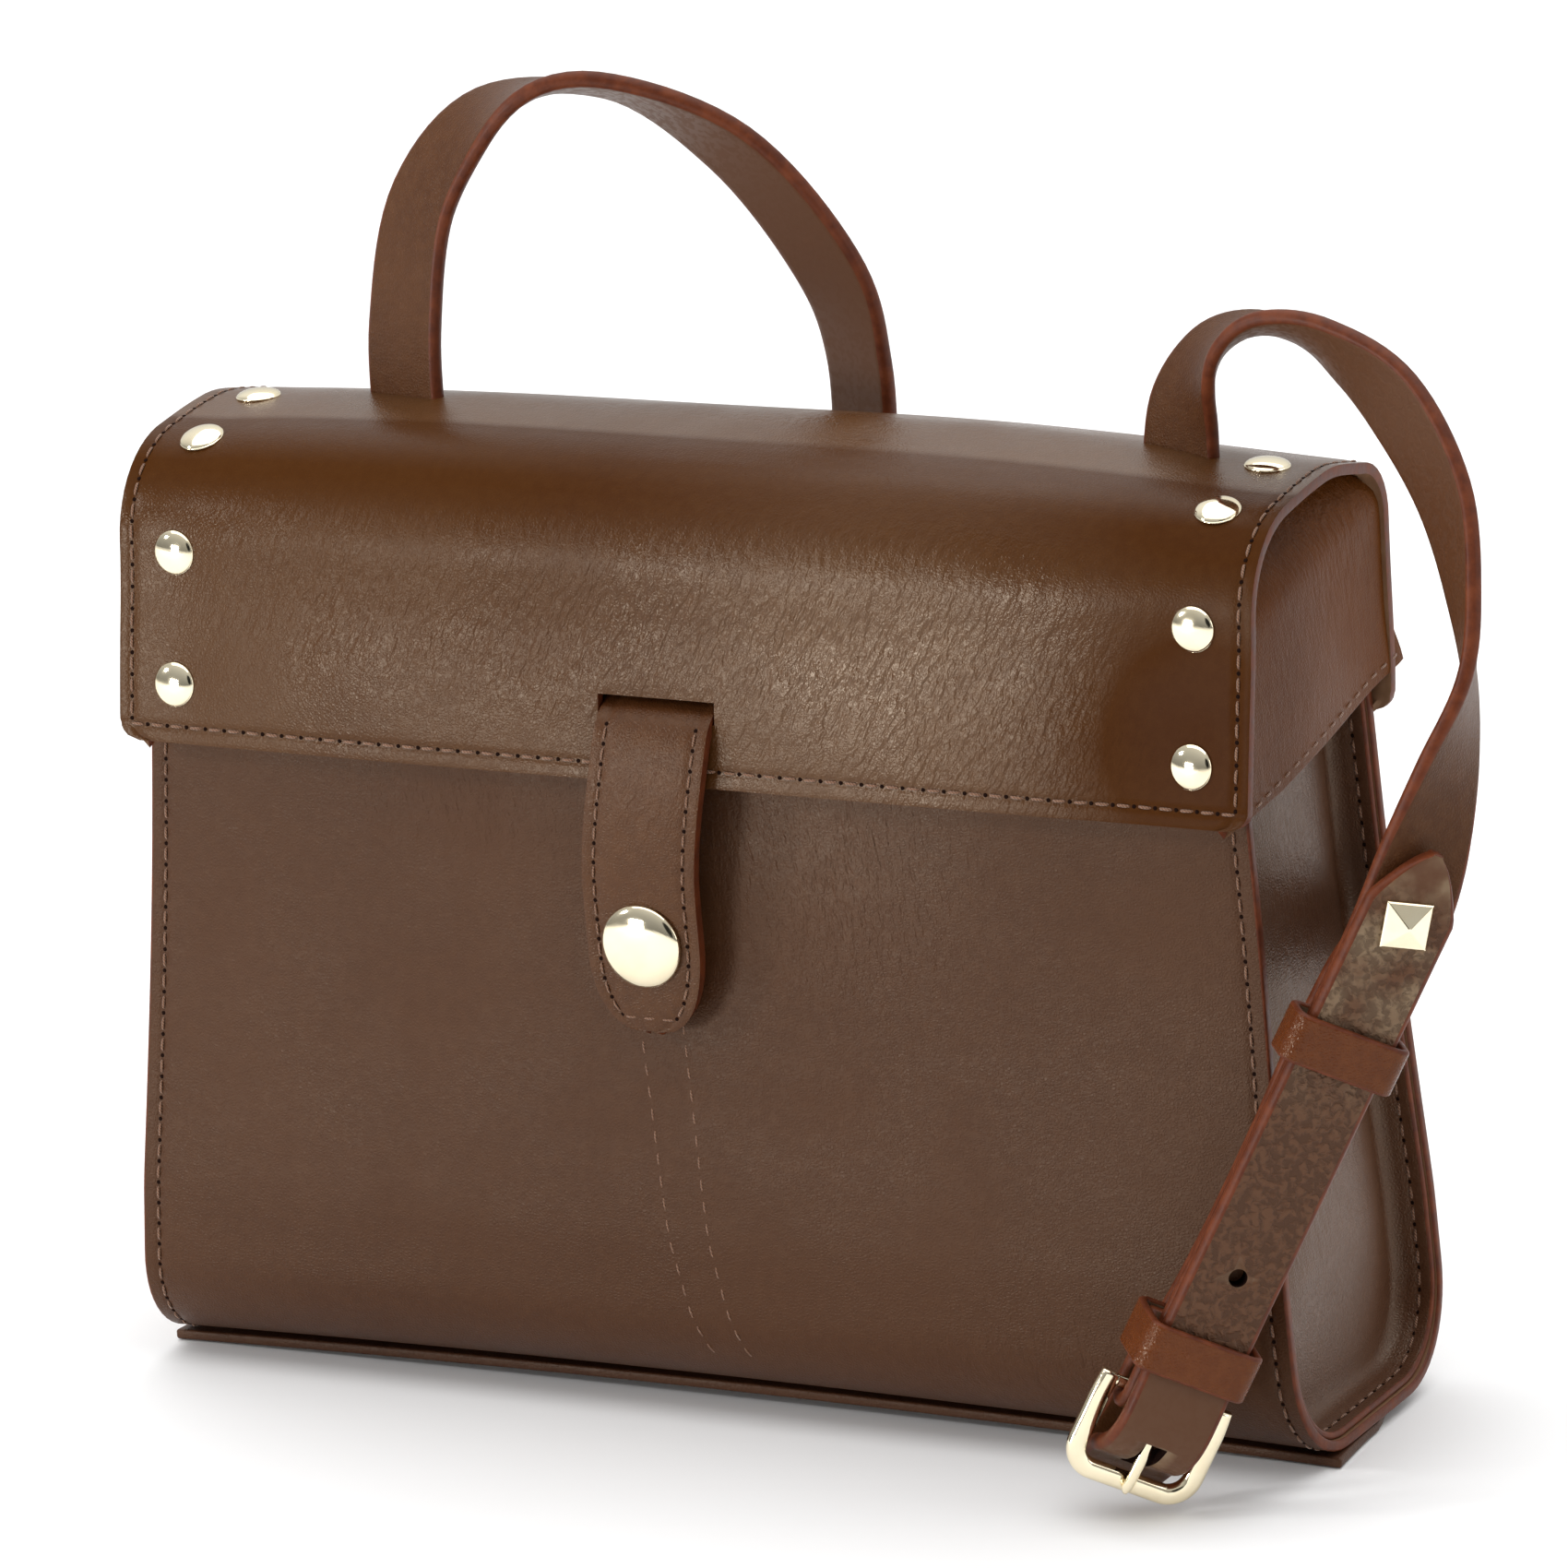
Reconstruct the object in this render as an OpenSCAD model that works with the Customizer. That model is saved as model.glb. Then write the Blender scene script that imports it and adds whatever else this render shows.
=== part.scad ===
// Small leather satchel with a box lid, a snap tab and one long strap with a pin buckle.
// +Z is up, the front faces -Y, and the origin is on the floor at the middle of the base.
// The strap rises from two slots in the lid. Its left half goes over the top, down behind the bag,
// round the right-hand back edge, down behind the buckle, round the buckle's outer bar, and back up
// through the keepers. Its right half comes down outside the bag and carries the buckle.

/* [Body] */
// Width of the front panel at the floor
body_width = 262; // [240:1:280]
// Width of the front panel at the mouth
mouth_width = 240; // [236:0.5:242]
// Height of the front panel
body_height = 167; // [160:1:168]
// Greatest depth, near the base
body_depth = 75; // [70:1:78]
// Depth at the mouth
mouth_depth = 63; // [60:1:64]
// Radius of the rolled bottom edges
base_radius = 22; // [16:1:26]
// Thickness of the body leather
leather = 2.2; // [1.6:0.1:2.6]
// Thickness of the side gussets
gusset_leather = 1.5; // [1:0.1:1.6]
// How far the gussets sit inside the panel edges
gusset_recess = 9; // [6:0.5:12]

/* [Lid] */
// Width of the lid
lid_width = 250.4; // [249.5:0.1:254]
// Height of the top of the lid above the floor
lid_top = 197; // [196:0.5:200]
// Height of the lid's front edge
lid_front_edge = 135.4; // [134:0.2:138]
// Height of the lid's back edge, where it hinges
lid_back_edge = 150.5; // [150:0.1:152]
// Diameter of the rivet caps
rivet_cap = 9; // [7:0.5:10]

/* [Tab] */
// Width of the closure tab
tab_width = 25; // [20:0.5:28]
// Sideways place of the tab's middle line
tab_x = -6.5; // [-8:0.5:8]
// Thickness of the tab
tab_leather = 2.6; // [2:0.1:3]
// Diameter of the snap cap
snap_cap_d = 17; // [14:0.5:18]

/* [Strap] */
// Width of the strap
strap_width = 19; // [16:0.5:20]
// Thickness of the strap
strap_leather = 3.2; // [2.4:0.1:3.4]
// Length of each keeper along the strap
keeper_length = 10; // [8:0.5:12]

/* [Hidden] */

$fn = 48;
gap = 0.2; // between layers of leather
bore_clear = 0.05; // between a post and its hole
base_leather = 2.5;
long_x = 300; // wider than anything here

leather_brown = [0.36, 0.22, 0.16];
edge_brown = [0.46, 0.25, 0.18];
lining_tan = [0.55, 0.44, 0.34];
pale_gold = [0.9, 0.82, 0.62];
steel_grey = [0.6, 0.6, 0.62];

// ---- small helpers ----

// A flat profile in Y and Z, pushed along X from x0 to x1.
module along_x(x0, x1) {
    translate([x0, 0, 0]) rotate([90, 0, 90]) linear_extrude(x1 - x0) children();
}

// Points on an arc from angle a0 to angle a1.
function arc(centre, r, a0, a1, steps = 8) =
    [for (i = [0:steps]) let (a = a0 + (a1 - a0) * i / steps)
        centre + r * [cos(a), sin(a)]];

function mirrored(points) = [for (i = [len(points) - 1:-1:0]) [-points[i][0], points[i][1]]];
function shifted(points, dy) = [for (p = points) [p[0] + dy, p[1]]];
function reversed(points) = [for (i = [len(points) - 1:-1:0]) points[i]];

// ---- body profile: the outline of the front, bottom and back panels, seen from the side ----

// Heights at which the panels bend a little, from the mouth down.
panel_levels = [130, 110, 90, 70, 55, 40];
corner_y = body_depth / 2 - base_radius;
corner_z = base_leather + base_radius;

// Half depth of the body at height z, above the rolled edge.
function half_depth(z) =
    let (low = 40, high = 130)
    z < low ? body_depth / 2
    : z < high ? body_depth / 2 - (body_depth - mouth_depth) / 2 * 0.93 * sin(90 * (z - low) / (high - low))
    : mouth_depth / 2 + (body_depth - mouth_depth) / 2 * 0.07 * (body_height - z) / (body_height - high);

// Back half of the outline, a distance `inset` inside the outer face, from the mouth down.
function half_outline(inset) = concat(
    [for (z = concat([body_height], panel_levels)) [half_depth(z) - inset, z]],
    arc([corner_y, corner_z], base_radius - inset, 0, -90));

function body_outline(inset) = concat(half_outline(inset), mirrored(half_outline(inset)));

// A ring between two insets of the body outline, open at the mouth.
module outline_ring(outer, inner) {
    polygon(concat(body_outline(outer), reversed(body_outline(inner))));
}

// Half width of the body at height z.
function half_width(z) = (body_width + (mouth_width - body_width) * z / body_height) / 2;

// The space between the side edges, `inset` inside each of them.
module between_sides(inset) {
    top = body_height + 10;
    rotate([90, 0, 0]) translate([0, 0, -body_depth]) linear_extrude(2 * body_depth)
        polygon([[-half_width(-10) + inset, -10], [half_width(-10) - inset, -10],
                 [half_width(top) - inset, top], [-half_width(top) + inset, top]]);
}

// ---- body ----

// Front, bottom and back in one sheet.
module body_wrap() {
    color(leather_brown) difference() {
        intersection() {
            along_x(-long_x / 2, long_x / 2) outline_ring(0, leather);
            between_sides(0);
        }
        translate([tab_x, -body_depth / 2, snap_z]) rotate([90, 0, 0])
            cylinder(r = magnet_post_r + bore_clear, h = 40, center = true);
    }
}

// Flat strip under the body, with its corners standing out past the panel edges.
module base_panel() {
    half = body_width / 2 + 1;
    depth = 2 * corner_y + 14;
    waist = half - 1.5;
    color(edge_brown) linear_extrude(base_leather - 0.1)
        polygon([[-half, -depth / 2], [half, -depth / 2], [waist, 0],
                 [half, depth / 2], [-half, depth / 2], [-waist, 0]]);
}

flange_outer = leather + 0.1;
flange_inner = flange_outer + gusset_leather;

// Right gusset: a recessed side wall with a flange sewn to the inside of the wrap.
module gusset_right() {
    color(leather_brown) intersection() {
        union() {
            intersection() {
                along_x(0, long_x / 2) polygon(body_outline(flange_outer));
                difference() {
                    between_sides(gusset_recess);
                    between_sides(gusset_recess + gusset_leather);
                }
            }
            intersection() {
                along_x(0, long_x / 2) outline_ring(flange_outer, flange_inner);
                difference() {
                    between_sides(0.6);
                    between_sides(gusset_recess + gusset_leather);
                }
            }
        }
        translate([0, -body_depth, -1]) cube([long_x, 2 * body_depth, body_height - 2]);
    }
}

module gusset_left() {
    mirror([1, 0, 0]) gusset_right();
}

lining_thick = 0.6;
lining_outer = flange_inner + 0.6;
lining_inner = lining_outer + lining_thick;
lining_side = gusset_recess + gusset_leather + 0.4;

// Thin cloth bag that lines the inside, open at the top.
module lining() {
    color(lining_tan) difference() {
        intersection() {
            along_x(-long_x / 2, long_x / 2) polygon(body_outline(lining_outer));
            between_sides(lining_side);
            translate([-long_x / 2, -body_depth, 0]) cube([long_x, 2 * body_depth, body_height - 6]);
        }
        intersection() {
            along_x(-long_x / 2, long_x / 2) polygon(body_outline(lining_inner));
            between_sides(lining_side + lining_thick);
        }
    }
}

board_thick = 2;
floor_z = base_leather + lining_inner;

// Stiff board that lies on the lining and keeps the base flat.
module base_board() {
    half = half_width(0) - lining_side - 4;
    depth = 2 * corner_y + 2;
    color(lining_tan) translate([-half, -depth / 2, floor_z + 0.1])
        cube([2 * half, depth, board_thick]);
}

pocket_width = 140;
pocket_low = 62;
pocket_high = 138;

// Slip pocket on the back wall of the lining.
module inner_pocket() {
    thick = 0.8;
    top_y = half_depth(pocket_high) - lining_inner - 1.6;
    low_y = half_depth(pocket_low) - lining_inner - 1.6;
    color(lining_tan) along_x(-pocket_width / 2, pocket_width / 2)
        polygon([[top_y, pocket_high], [top_y - thick, pocket_high],
                 [low_y - thick, pocket_low], [low_y, pocket_low]]);
}

snap_z = 102.5;
magnet_post_r = 2;
front_y = -half_depth(snap_z);

strip_width = 22;
strip_thick = 1;

// Stiffening strip behind the front panel, held by the two rows of stitches below the tab.
module tab_strip() {
    strip_x = tab_x + 2;
    strip_top = 90;
    face = [for (z = panel_levels) if (z <= strip_top) [leather + gap - half_depth(z), z]];
    color(leather_brown) along_x(strip_x - strip_width / 2, strip_x + strip_width / 2)
        polygon(concat(face, reversed(shifted(face, strip_thick))));
}

magnet_r = 8.5;
magnet_thick = 3;
magnet_gap = 0.6;

// Magnet on the front panel, with the post that holds it.
module magnet_base() {
    color(pale_gold) translate([tab_x, front_y, snap_z]) rotate([90, 0, 0]) {
        translate([0, 0, magnet_gap]) cylinder(r = magnet_r, h = magnet_thick);
        translate([0, 0, -leather - 1.2]) cylinder(r = magnet_post_r, h = leather + 1.2 + magnet_gap + 0.1);
    }
}

// Washer that the post is riveted over, inside the front panel.
module magnet_washer() {
    color(steel_grey) translate([tab_x, front_y + leather + 0.5, snap_z]) rotate([-90, 0, 0])
        difference() {
            cylinder(r = 7, h = 0.8);
            translate([0, 0, -1]) cylinder(r = magnet_post_r + bore_clear, h = 4);
        }
}

// ---- lid profile, seen from the side ----

front_corner = [-12.2, lid_top - 23];
front_corner_r = 21.5;
back_corner = [22, lid_top - 16];
back_corner_r = 13;

function lid_outline(inset) = concat(
    [[-39.2 + inset, lid_front_edge], [-37.6 + inset, 148], [-34.6 + inset, 165]],
    arc(front_corner, front_corner_r - inset, 180, 96, 10),
    [[0, lid_top - 0.1 - inset], [10, lid_top - 0.1 - inset]],
    arc(back_corner, back_corner_r - inset, 82, 0),
    [[35.3 - inset, lid_back_edge]]);

lid_half = lid_width / 2;
ear_leather = 1.6;
ear_inner = lid_half - 1 - ear_leather;
slot_z = 149;
tab_lean = 3.8; // how far the slot sits to the side of the snap
slot_high = 4.5;
strap_slot_left = [-79, 7.4];
strap_slot_right = [92.8, 8];
strap_turn = -15; // the slots are cut at a slant

// Where the four rivets on each side sit: [y, z, tilt of the cap from straight ahead].
rivet_x = 112.7;
bend_rivet = 108.6; // angle round the front corner
rivet_spots = [[-37.67, 147.4, 8.6], [-33.7, 174, 5],
               [front_corner[0] + front_corner_r * cos(bend_rivet),
                front_corner[1] + front_corner_r * sin(bend_rivet), 180 - bend_rivet],
               [5.2, lid_top - 0.1, 90]];

module at_rivets() {
    for (side = [-1, 1])
        for (spot = rivet_spots)
            translate([side * rivet_x, spot[0], spot[1]]) rotate([90 - spot[2], 0, 0]) children();
}

rivet_post_r = 1.4;

// Cutter for a slanting slot that one strap end passes through.
module strap_cut() {
    room = 1.2;
    rotate([0, 0, strap_turn])
        cube([strap_width + room, strap_leather + room, 20], center = true);
}

// Front, top and back of the lid in one sheet, slotted for the tab and the strap.
module lid_wrap() {
    color(leather_brown) difference() {
        along_x(-lid_half, lid_half)
            polygon(concat(lid_outline(0), reversed(lid_outline(leather))));
        translate([tab_x + tab_lean - tab_width / 2 - 0.7, -50, slot_z - slot_high / 2])
            cube([tab_width + 1.4, 20, slot_high]);
        for (spot = [strap_slot_left, strap_slot_right])
            translate([spot[0], spot[1], lid_top]) strap_cut();
        at_rivets() cylinder(r = rivet_post_r + bore_clear, h = 12, center = true);
    }
}

// Side of the lid, with its slanting lower edge.
module lid_ear_right() {
    color(leather_brown) along_x(ear_inner, ear_inner + ear_leather)
        polygon(lid_outline(leather + 0.1));
}

module lid_ear_left() {
    mirror([1, 0, 0]) lid_ear_right();
}

// Domed cap on a post.
module rivet() {
    cap_r = rivet_cap / 2;
    rim = 0.5;
    dome = 1.5;
    sphere_r = (cap_r * cap_r + dome * dome) / (2 * dome);
    translate([0, 0, gap]) {
        cylinder(r = cap_r, h = rim);
        translate([0, 0, rim]) intersection() {
            translate([0, 0, dome - sphere_r]) sphere(r = sphere_r);
            cylinder(r = cap_r, h = dome + 1);
        }
    }
    translate([0, 0, -leather - 1.3]) cylinder(r = rivet_post_r, h = leather + 1.6);
}

module lid_rivets() {
    color(pale_gold) at_rivets() rivet();
}

module lid_rivet_washers() {
    color(steel_grey) at_rivets() translate([0, 0, -leather - 1.1]) difference() {
        cylinder(r = 3, h = 0.6);
        translate([0, 0, -1]) cylinder(r = rivet_post_r + bore_clear, h = 4);
    }
}

// Leather patches under the lid that the two strap ends are sewn to.
module strap_patches() {
    color(leather_brown) for (spot = [strap_slot_left, strap_slot_right])
        translate([spot[0], spot[1], lid_top - leather - 3.2]) difference() {
            cube([34, 22, 1.6], center = true);
            strap_cut();
        }
}

// ---- closure tab ----

tab_hinge = [-40.9, slot_z];
tab_low = 84;
tab_face = -40.8;
snap_r = snap_cap_d / 2;
// Middle line of the tab from its tip up to the slot, upright behind the snap.
tab_line = [[tab_face + 1.6, tab_low], [tab_face, snap_z - 9.5], [tab_face, snap_z + 9.5],
            [-43, 122], [-44.2, 131], [-43.6, 141], tab_hinge];

// Outline of the tab from the front: upright at the slot, leaning to the snap, with a blunt tip.
module tab_outline() {
    half = tab_width / 2;
    top_x = tab_x + tab_lean;
    polygon([[top_x - half, 160], [top_x - half, slot_z], [tab_x - half, snap_z + 6],
             [tab_x - half, tab_low + 17], [tab_x - half + 3, tab_low + 8],
             [tab_x - 4, tab_low], [tab_x + 4, tab_low],
             [tab_x + half - 3, tab_low + 8], [tab_x + half, tab_low + 17],
             [tab_x + half, snap_z + 6], [top_x + half, slot_z], [top_x + half, 160]]);
}

// Tongue that comes out of the slot in the lid and hangs over the front.
module closure_tab() {
    half = tab_width / 2;
    color(leather_brown) difference() {
        intersection() {
            along_x(tab_x - half - 1, tab_x + tab_lean + half + 1) union() {
                polygon(concat(shifted(tab_line, -tab_leather / 2),
                               reversed(shifted(tab_line, tab_leather / 2))));
                translate(tab_hinge) circle(r = tab_leather / 2);
            }
            rotate([90, 0, 0]) linear_extrude(80) tab_outline();
        }
        translate([tab_x, tab_face, snap_z]) rotate([90, 0, 0])
            cylinder(r = snap_post_r + bore_clear, h = 20, center = true);
    }
}

snap_post_r = 2;

// Shallow domed cap on the tab.
module snap_cap() {
    rim = 0.8;
    dome = 2;
    sphere_r = (snap_r * snap_r + dome * dome) / (2 * dome);
    color(pale_gold) translate([tab_x, tab_face - tab_leather / 2 - gap, snap_z]) rotate([90, 0, 0]) {
        cylinder(r = snap_r, h = rim);
        translate([0, 0, rim]) intersection() {
            translate([0, 0, dome - sphere_r]) sphere(r = sphere_r);
            cylinder(r = snap_r, h = dome + 1);
        }
        translate([0, 0, -tab_leather - 0.8]) cylinder(r = snap_post_r, h = tab_leather + 1);
    }
}

// Magnetic half of the snap behind the tab.
module snap_socket() {
    color(pale_gold) translate([tab_x, tab_face + tab_leather / 2 + 0.4, snap_z]) rotate([-90, 0, 0])
        difference() {
            cylinder(r = 8, h = 2.6);
            translate([0, 0, -1]) cylinder(r = snap_post_r + bore_clear, h = 4);
        }
}

// ---- strap: a flat ribbon swept along a smooth path ----

function unit(v) = v / norm(v);

// Smooth curve through four stations, u from 0 to 1 between b and c.
function smooth_between(a, b, c, d, u) =
    0.5 * (2 * b + (c - a) * u + (2 * a - 5 * b + 4 * c - d) * u * u
           + (3 * b - a - 3 * c + d) * u * u * u);

// Every point of one column (0 the middle, 1 the direction across) of a list of stations.
function smooth_path(stations, column, steps) =
    let (n = len(stations))
    concat([for (i = [0:n - 2]) for (j = [0:steps - 1])
        smooth_between(stations[max(i - 1, 0)][column], stations[i][column],
                       stations[i + 1][column], stations[min(i + 2, n - 1)][column], j / steps)],
        [stations[n - 1][column]]);

// Ribbon through stations of [middle point, direction across it].
module ribbon(stations, width, thick, steps = 5) {
    middle = smooth_path(stations, 0, steps);
    across = smooth_path(stations, 1, steps);
    n = len(middle);
    corners = [for (i = [0:n - 1])
        let (along = unit(middle[min(i + 1, n - 1)] - middle[max(i - 1, 0)]),
             side = unit(across[i] - along * (across[i] * along)) * width / 2,
             up = unit(cross(side, along)) * thick / 2)
        each [middle[i] - side - up, middle[i] + side - up,
              middle[i] + side + up, middle[i] - side + up]];
    walls = [for (i = [0:n - 2]) for (k = [0:3])
        let (a = 4 * i + k, b = 4 * i + (k + 1) % 4)
        each [[a, b, a + 4], [b, b + 4, a + 4]]];
    last = 4 * n - 4;
    ends = [[0, 2, 1], [0, 3, 2], [last, last + 1, last + 2], [last, last + 2, last + 3]];
    polyhedron(points = corners, faces = concat(walls, ends));
}

// The straight run of strap by the buckle has its own axes: across it, along it, and out of it.
run_start = [103.8, -63, 8.7];
run_end = [142.4, -40.7, 95.7];
run_along = unit(run_end - run_start);
run_out_hint = [0.6, -0.8, -0.06];
run_out = unit(run_out_hint - run_along * (run_out_hint * run_along));
run_across = cross(run_along, run_out);

// A point of the straight run: t along it from the buckle's outer bar, n out of it, and across it.
function on_run(t, n, across = 0) = run_start + t * run_along + n * run_out + across * run_across;
function run_station(t, n, across = 0) = [on_run(t, n, across), -run_across];

// Places children drawn with X across the run, Y along it and Z out of it.
module place_on_run(t = 0, n = 0) {
    o = on_run(t, n);
    multmatrix([[run_across[0], run_along[0], run_out[0], o[0]],
                [run_across[1], run_along[1], run_out[1], o[1]],
                [run_across[2], run_along[2], run_out[2], o[2]],
                [0, 0, 0, 1]]) children();
}

// Places along the run, from the buckle's outer bar up.
bar_t = 18.7;
loop_end_t = 42;
fixed_keeper_t = 30;
pin_hole_t = 47.5;
keeper_t = 97.8;
stud_t = 126;
tip_t = 141;
// Middle heights of the strap's layers there, out of the bar.
short_n = 3.2;
long_n = short_n + strap_leather + gap;
return_n = -9.2; // behind the fixed keeper
return_near_n = -6.3; // above it, clear of the front panel's edge
return_shift = 4; // the hidden layer lies a little to the side

// Left end of the strap, from its slot over the top and down behind the lid.
module strap_left_arc() {
    color(leather_brown) ribbon([
        [[-79, 7.4, 191], [0.966, -0.259, 0]],
        [[-79, 8, 213], [0.96, -0.27, 0.1]],
        [[-75, 12, 239], [0.93, -0.37, 0.07]],
        [[-60, 16, 257.5], [0.8, -0.55, 0.1]],
        [[-38, 22, 262], [0.3, -0.87, 0.35]],
        [[-14, 30, 248.5], [0.6, -0.53, 0.6]],
        [[2, 38, 224], [0.84, -0.35, 0.41]],
        [[6, 43, 203], [0.88, -0.42, 0.1]],
        [[6, 44, 177], [0.9, -0.42, 0]],
        [[7, 44, 157], [0.96, -0.28, 0.05]]], strap_width, strap_leather);
}

// Right end of the strap, from its slot over the top and down outside the bag.
module strap_right_arc() {
    color(leather_brown) ribbon([
        [[92.8, 8, 191], [0.966, -0.259, 0]],
        [[94, 8, 206], [0.9, -0.42, -0.08]],
        [[99, 7.4, 217], [0.55, -0.8, -0.3]],
        [[107.5, 6.2, 223.3], [0.1, -0.99, -0.05]],
        [[118, 4, 225], [-0.1, -0.85, 0.45]],
        [[130, 1, 222], [0.2, -0.65, 0.75]],
        [[144, -3, 213.3], [0.5, -0.35, 0.75]],
        [[155.7, -8, 197], [0.7, -0.5, 0.5]],
        [[161.7, -14, 178.3], [0.58, -0.78, 0.27]],
        [[164, -19.5, 163], [0.3, -0.92, 0.3]]], strap_width, strap_leather);
}

// Lower part of the right end, folded round the buckle's bar.
module strap_short() {
    loop_in = short_n - strap_leather / 2;
    loop_out = short_n + strap_leather / 2;
    half = strap_width / 2;
    color(leather_brown) {
        ribbon(concat(
            [[[164, -20.5, 160], [0.24, -0.93, 0.32]],
             [[162, -27, 146], [-0.25, -0.9, 0.35]]],
            [run_station(133, short_n - 0.8), run_station(118, short_n - 0.1),
             run_station(90, short_n), run_station(60, short_n)]),
            strap_width, strap_leather);
        place_on_run(bar_t) difference() {
            union() {
                rotate([0, 90, 0]) translate([0, 0, -half]) cylinder(r = loop_out, h = strap_width);
                translate([-half, 0, loop_in]) cube([strap_width, 61 - bar_t, strap_leather]);
                translate([-half, 0, -loop_out]) cube([strap_width, loop_end_t - bar_t, strap_leather]);
            }
            rotate([0, 90, 0]) cylinder(r = loop_in, h = 2 * strap_width, center = true);
            translate([-half - 1, 0, -loop_in]) cube([strap_width + 2, 80, 2 * loop_in]);
            translate([-prong_width / 2 - 0.5, -8, -10]) cube([prong_width + 1, 14, 20]);
        }
    }
}

// Rest of the strap: down behind the bag, round its back edge, behind the buckle and up to the tip.
module strap_long() {
    stud_hole_r = 1.3;
    pin_hole_r = 2;
    tip_angle = 55;
    color(leather_brown) difference() {
        ribbon(concat(
            [[[13, 43, 136], [0.9, -0.05, 0.4]],
             [[30, 42, 122], [0.66, 0, 0.75]],
             [[62, 41, 108.5], [0.38, 0, 0.92]],
             [[100, 39.5, 100], [0.15, 0, 0.99]],
             [[121, 38.5, 98], [0, 0, 1]],
             [[128.5, 31, 98.5], [0, 0, 1]],
             [[131.5, 14, 102], [0, 0.1, 1]],
             [[138.5, -8, 105.5], [-0.1, 0.1, 0.9]],
             [[143.5, -24, 104], [-0.45, -0.1, 0.75]]],
            [run_station(92, return_n + 1.2, return_shift), run_station(75, return_near_n, return_shift),
             run_station(52, return_near_n, return_shift), run_station(32, return_n, return_shift),
             run_station(9, return_n + 0.2, 1),
             run_station(3.5, -8.8), run_station(1, -6.6), run_station(2.8, -4.4),
             run_station(5, -2), run_station(6.6, 1.6), run_station(9.4, 5.2),
             run_station(14.5, 7.4), run_station(bar_t + 4, 7.4), run_station(32, long_n),
             run_station(60, long_n), run_station(120, long_n), run_station(tip_t, long_n + 0.4)]),
            strap_width, strap_leather);
        // the hole that the prong passes through
        place_on_run() translate([-prong_width, 0.5, -1.5]) cube([2 * prong_width, 11, 9]);
        place_on_run(pin_hole_t, long_n) cylinder(r = pin_hole_r, h = 10, center = true);
        place_on_run(stud_t, long_n) cylinder(r = stud_hole_r, h = 10, center = true);
        // the tip is cut to a blunt point
        for (side = [-1, 1])
            place_on_run(tip_t + 0.5, long_n) rotate([0, 0, side * tip_angle])
                translate([side < 0 ? -strap_width : 0, -0.5, -5])
                    cube([strap_width, strap_width, 10]);
    }
}

stud_side = 9.4;

// Four-sided pointed stud near the tip of the strap.
module pyramid_stud() {
    high = 3;
    half = stud_side / 2;
    base = 0.8;
    color(pale_gold) place_on_run(stud_t, long_n + strap_leather / 2 + 0.3) {
        translate([-half, -half, 0]) cube([stud_side, stud_side, base]);
        rotate([0, 0, 45]) translate([0, 0, base])
            cylinder(r1 = half * sqrt(2), r2 = 0.5, h = high - base, $fn = 4);
        translate([0, 0, -strap_leather - 0.2]) cylinder(r = 1.2, h = strap_leather + 0.4);
    }
}

// Leather band round the strap: `low` and `high` are the faces of what it holds.
module keeper(low, high, slack) {
    inner_w = strap_width + 2 * slack;
    wall = 1.5;
    round_r = 2.4;
    color(leather_brown) translate([0, -keeper_length / 2, 0]) rotate([-90, 0, 0])
        linear_extrude(keeper_length) mirror([0, 1]) difference() {
            rounded(inner_w + 2 * wall, low - gap - wall, high + gap + wall, round_r);
            rounded(inner_w, low - gap, high + gap, round_r - wall);
        }
}

// Rectangle with round corners, centred on x and running from y0 to y1.
module rounded(width, y0, y1, r) {
    for (sx = [-1, 1])
        for (y = [y0 + r, y1 - r])
            translate([sx * (width / 2 - r), y]) circle(r = r, $fn = 32);
    translate([-width / 2 + r, y0]) square([width - 2 * r, y1 - y0]);
    translate([-width / 2, y0 + r]) square([width, y1 - y0 - 2 * r]);
}

// Loose keeper that slides along both layers of the strap.
module sliding_keeper() {
    place_on_run(keeper_t)
        keeper(short_n - strap_leather / 2, long_n + strap_leather / 2, 1.4);
}

// Keeper sewn behind the buckle.
module fixed_keeper() {
    place_on_run(fixed_keeper_t)
        keeper(-short_n - strap_leather / 2, long_n + strap_leather / 2 + 0.4, 1.2);
}

// ---- buckle ----

frame_half = 12.6;
rail_r = 1.75;
frame_corner = 5;
bar_r = 1.3;

// Cast frame: outer bar, two rails and the bar that the strap is folded round.
module buckle_frame() {
    color(pale_gold) place_on_run() {
        rotate([0, 90, 0])
            cylinder(r = rail_r, h = 2 * (frame_half - frame_corner), center = true);
        for (side = [-1, 1]) {
            translate([side * frame_half, frame_corner, 0]) rotate([-90, 0, 0])
                cylinder(r = rail_r, h = bar_t - frame_corner + 1);
            translate([side * frame_half, bar_t + 1, 0]) sphere(r = rail_r);
            translate([side * (frame_half - frame_corner), frame_corner, 0])
                rotate([0, 0, side > 0 ? -90 : 180])
                    rotate_extrude(angle = 90) translate([frame_corner, 0]) circle(r = rail_r);
        }
        translate([0, bar_t, 0]) rotate([0, 90, 0])
            cylinder(r = bar_r, h = 2 * frame_half, center = true);
    }
}

prong_width = 2.6;
prong_r = 1.1;
prong_loop_r = 2.7;

// Pin that turns on the bar and rests on the outer bar.
module buckle_prong() {
    root = [0, -2, 1.6];
    tip = [0, -bar_t - 1.4, rail_r + prong_r + 0.15];
    reach = tip - root;
    color(pale_gold) place_on_run(bar_t) {
        difference() {
            rotate([0, 90, 0]) cylinder(r = prong_loop_r, h = prong_width, center = true);
            rotate([0, 90, 0]) cylinder(r = bar_r + 0.06, h = 10, center = true);
        }
        translate(root) rotate([atan2(-reach[1], reach[2]), 0, 0])
            cylinder(r = prong_r, h = norm(reach));
    }
}

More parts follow.
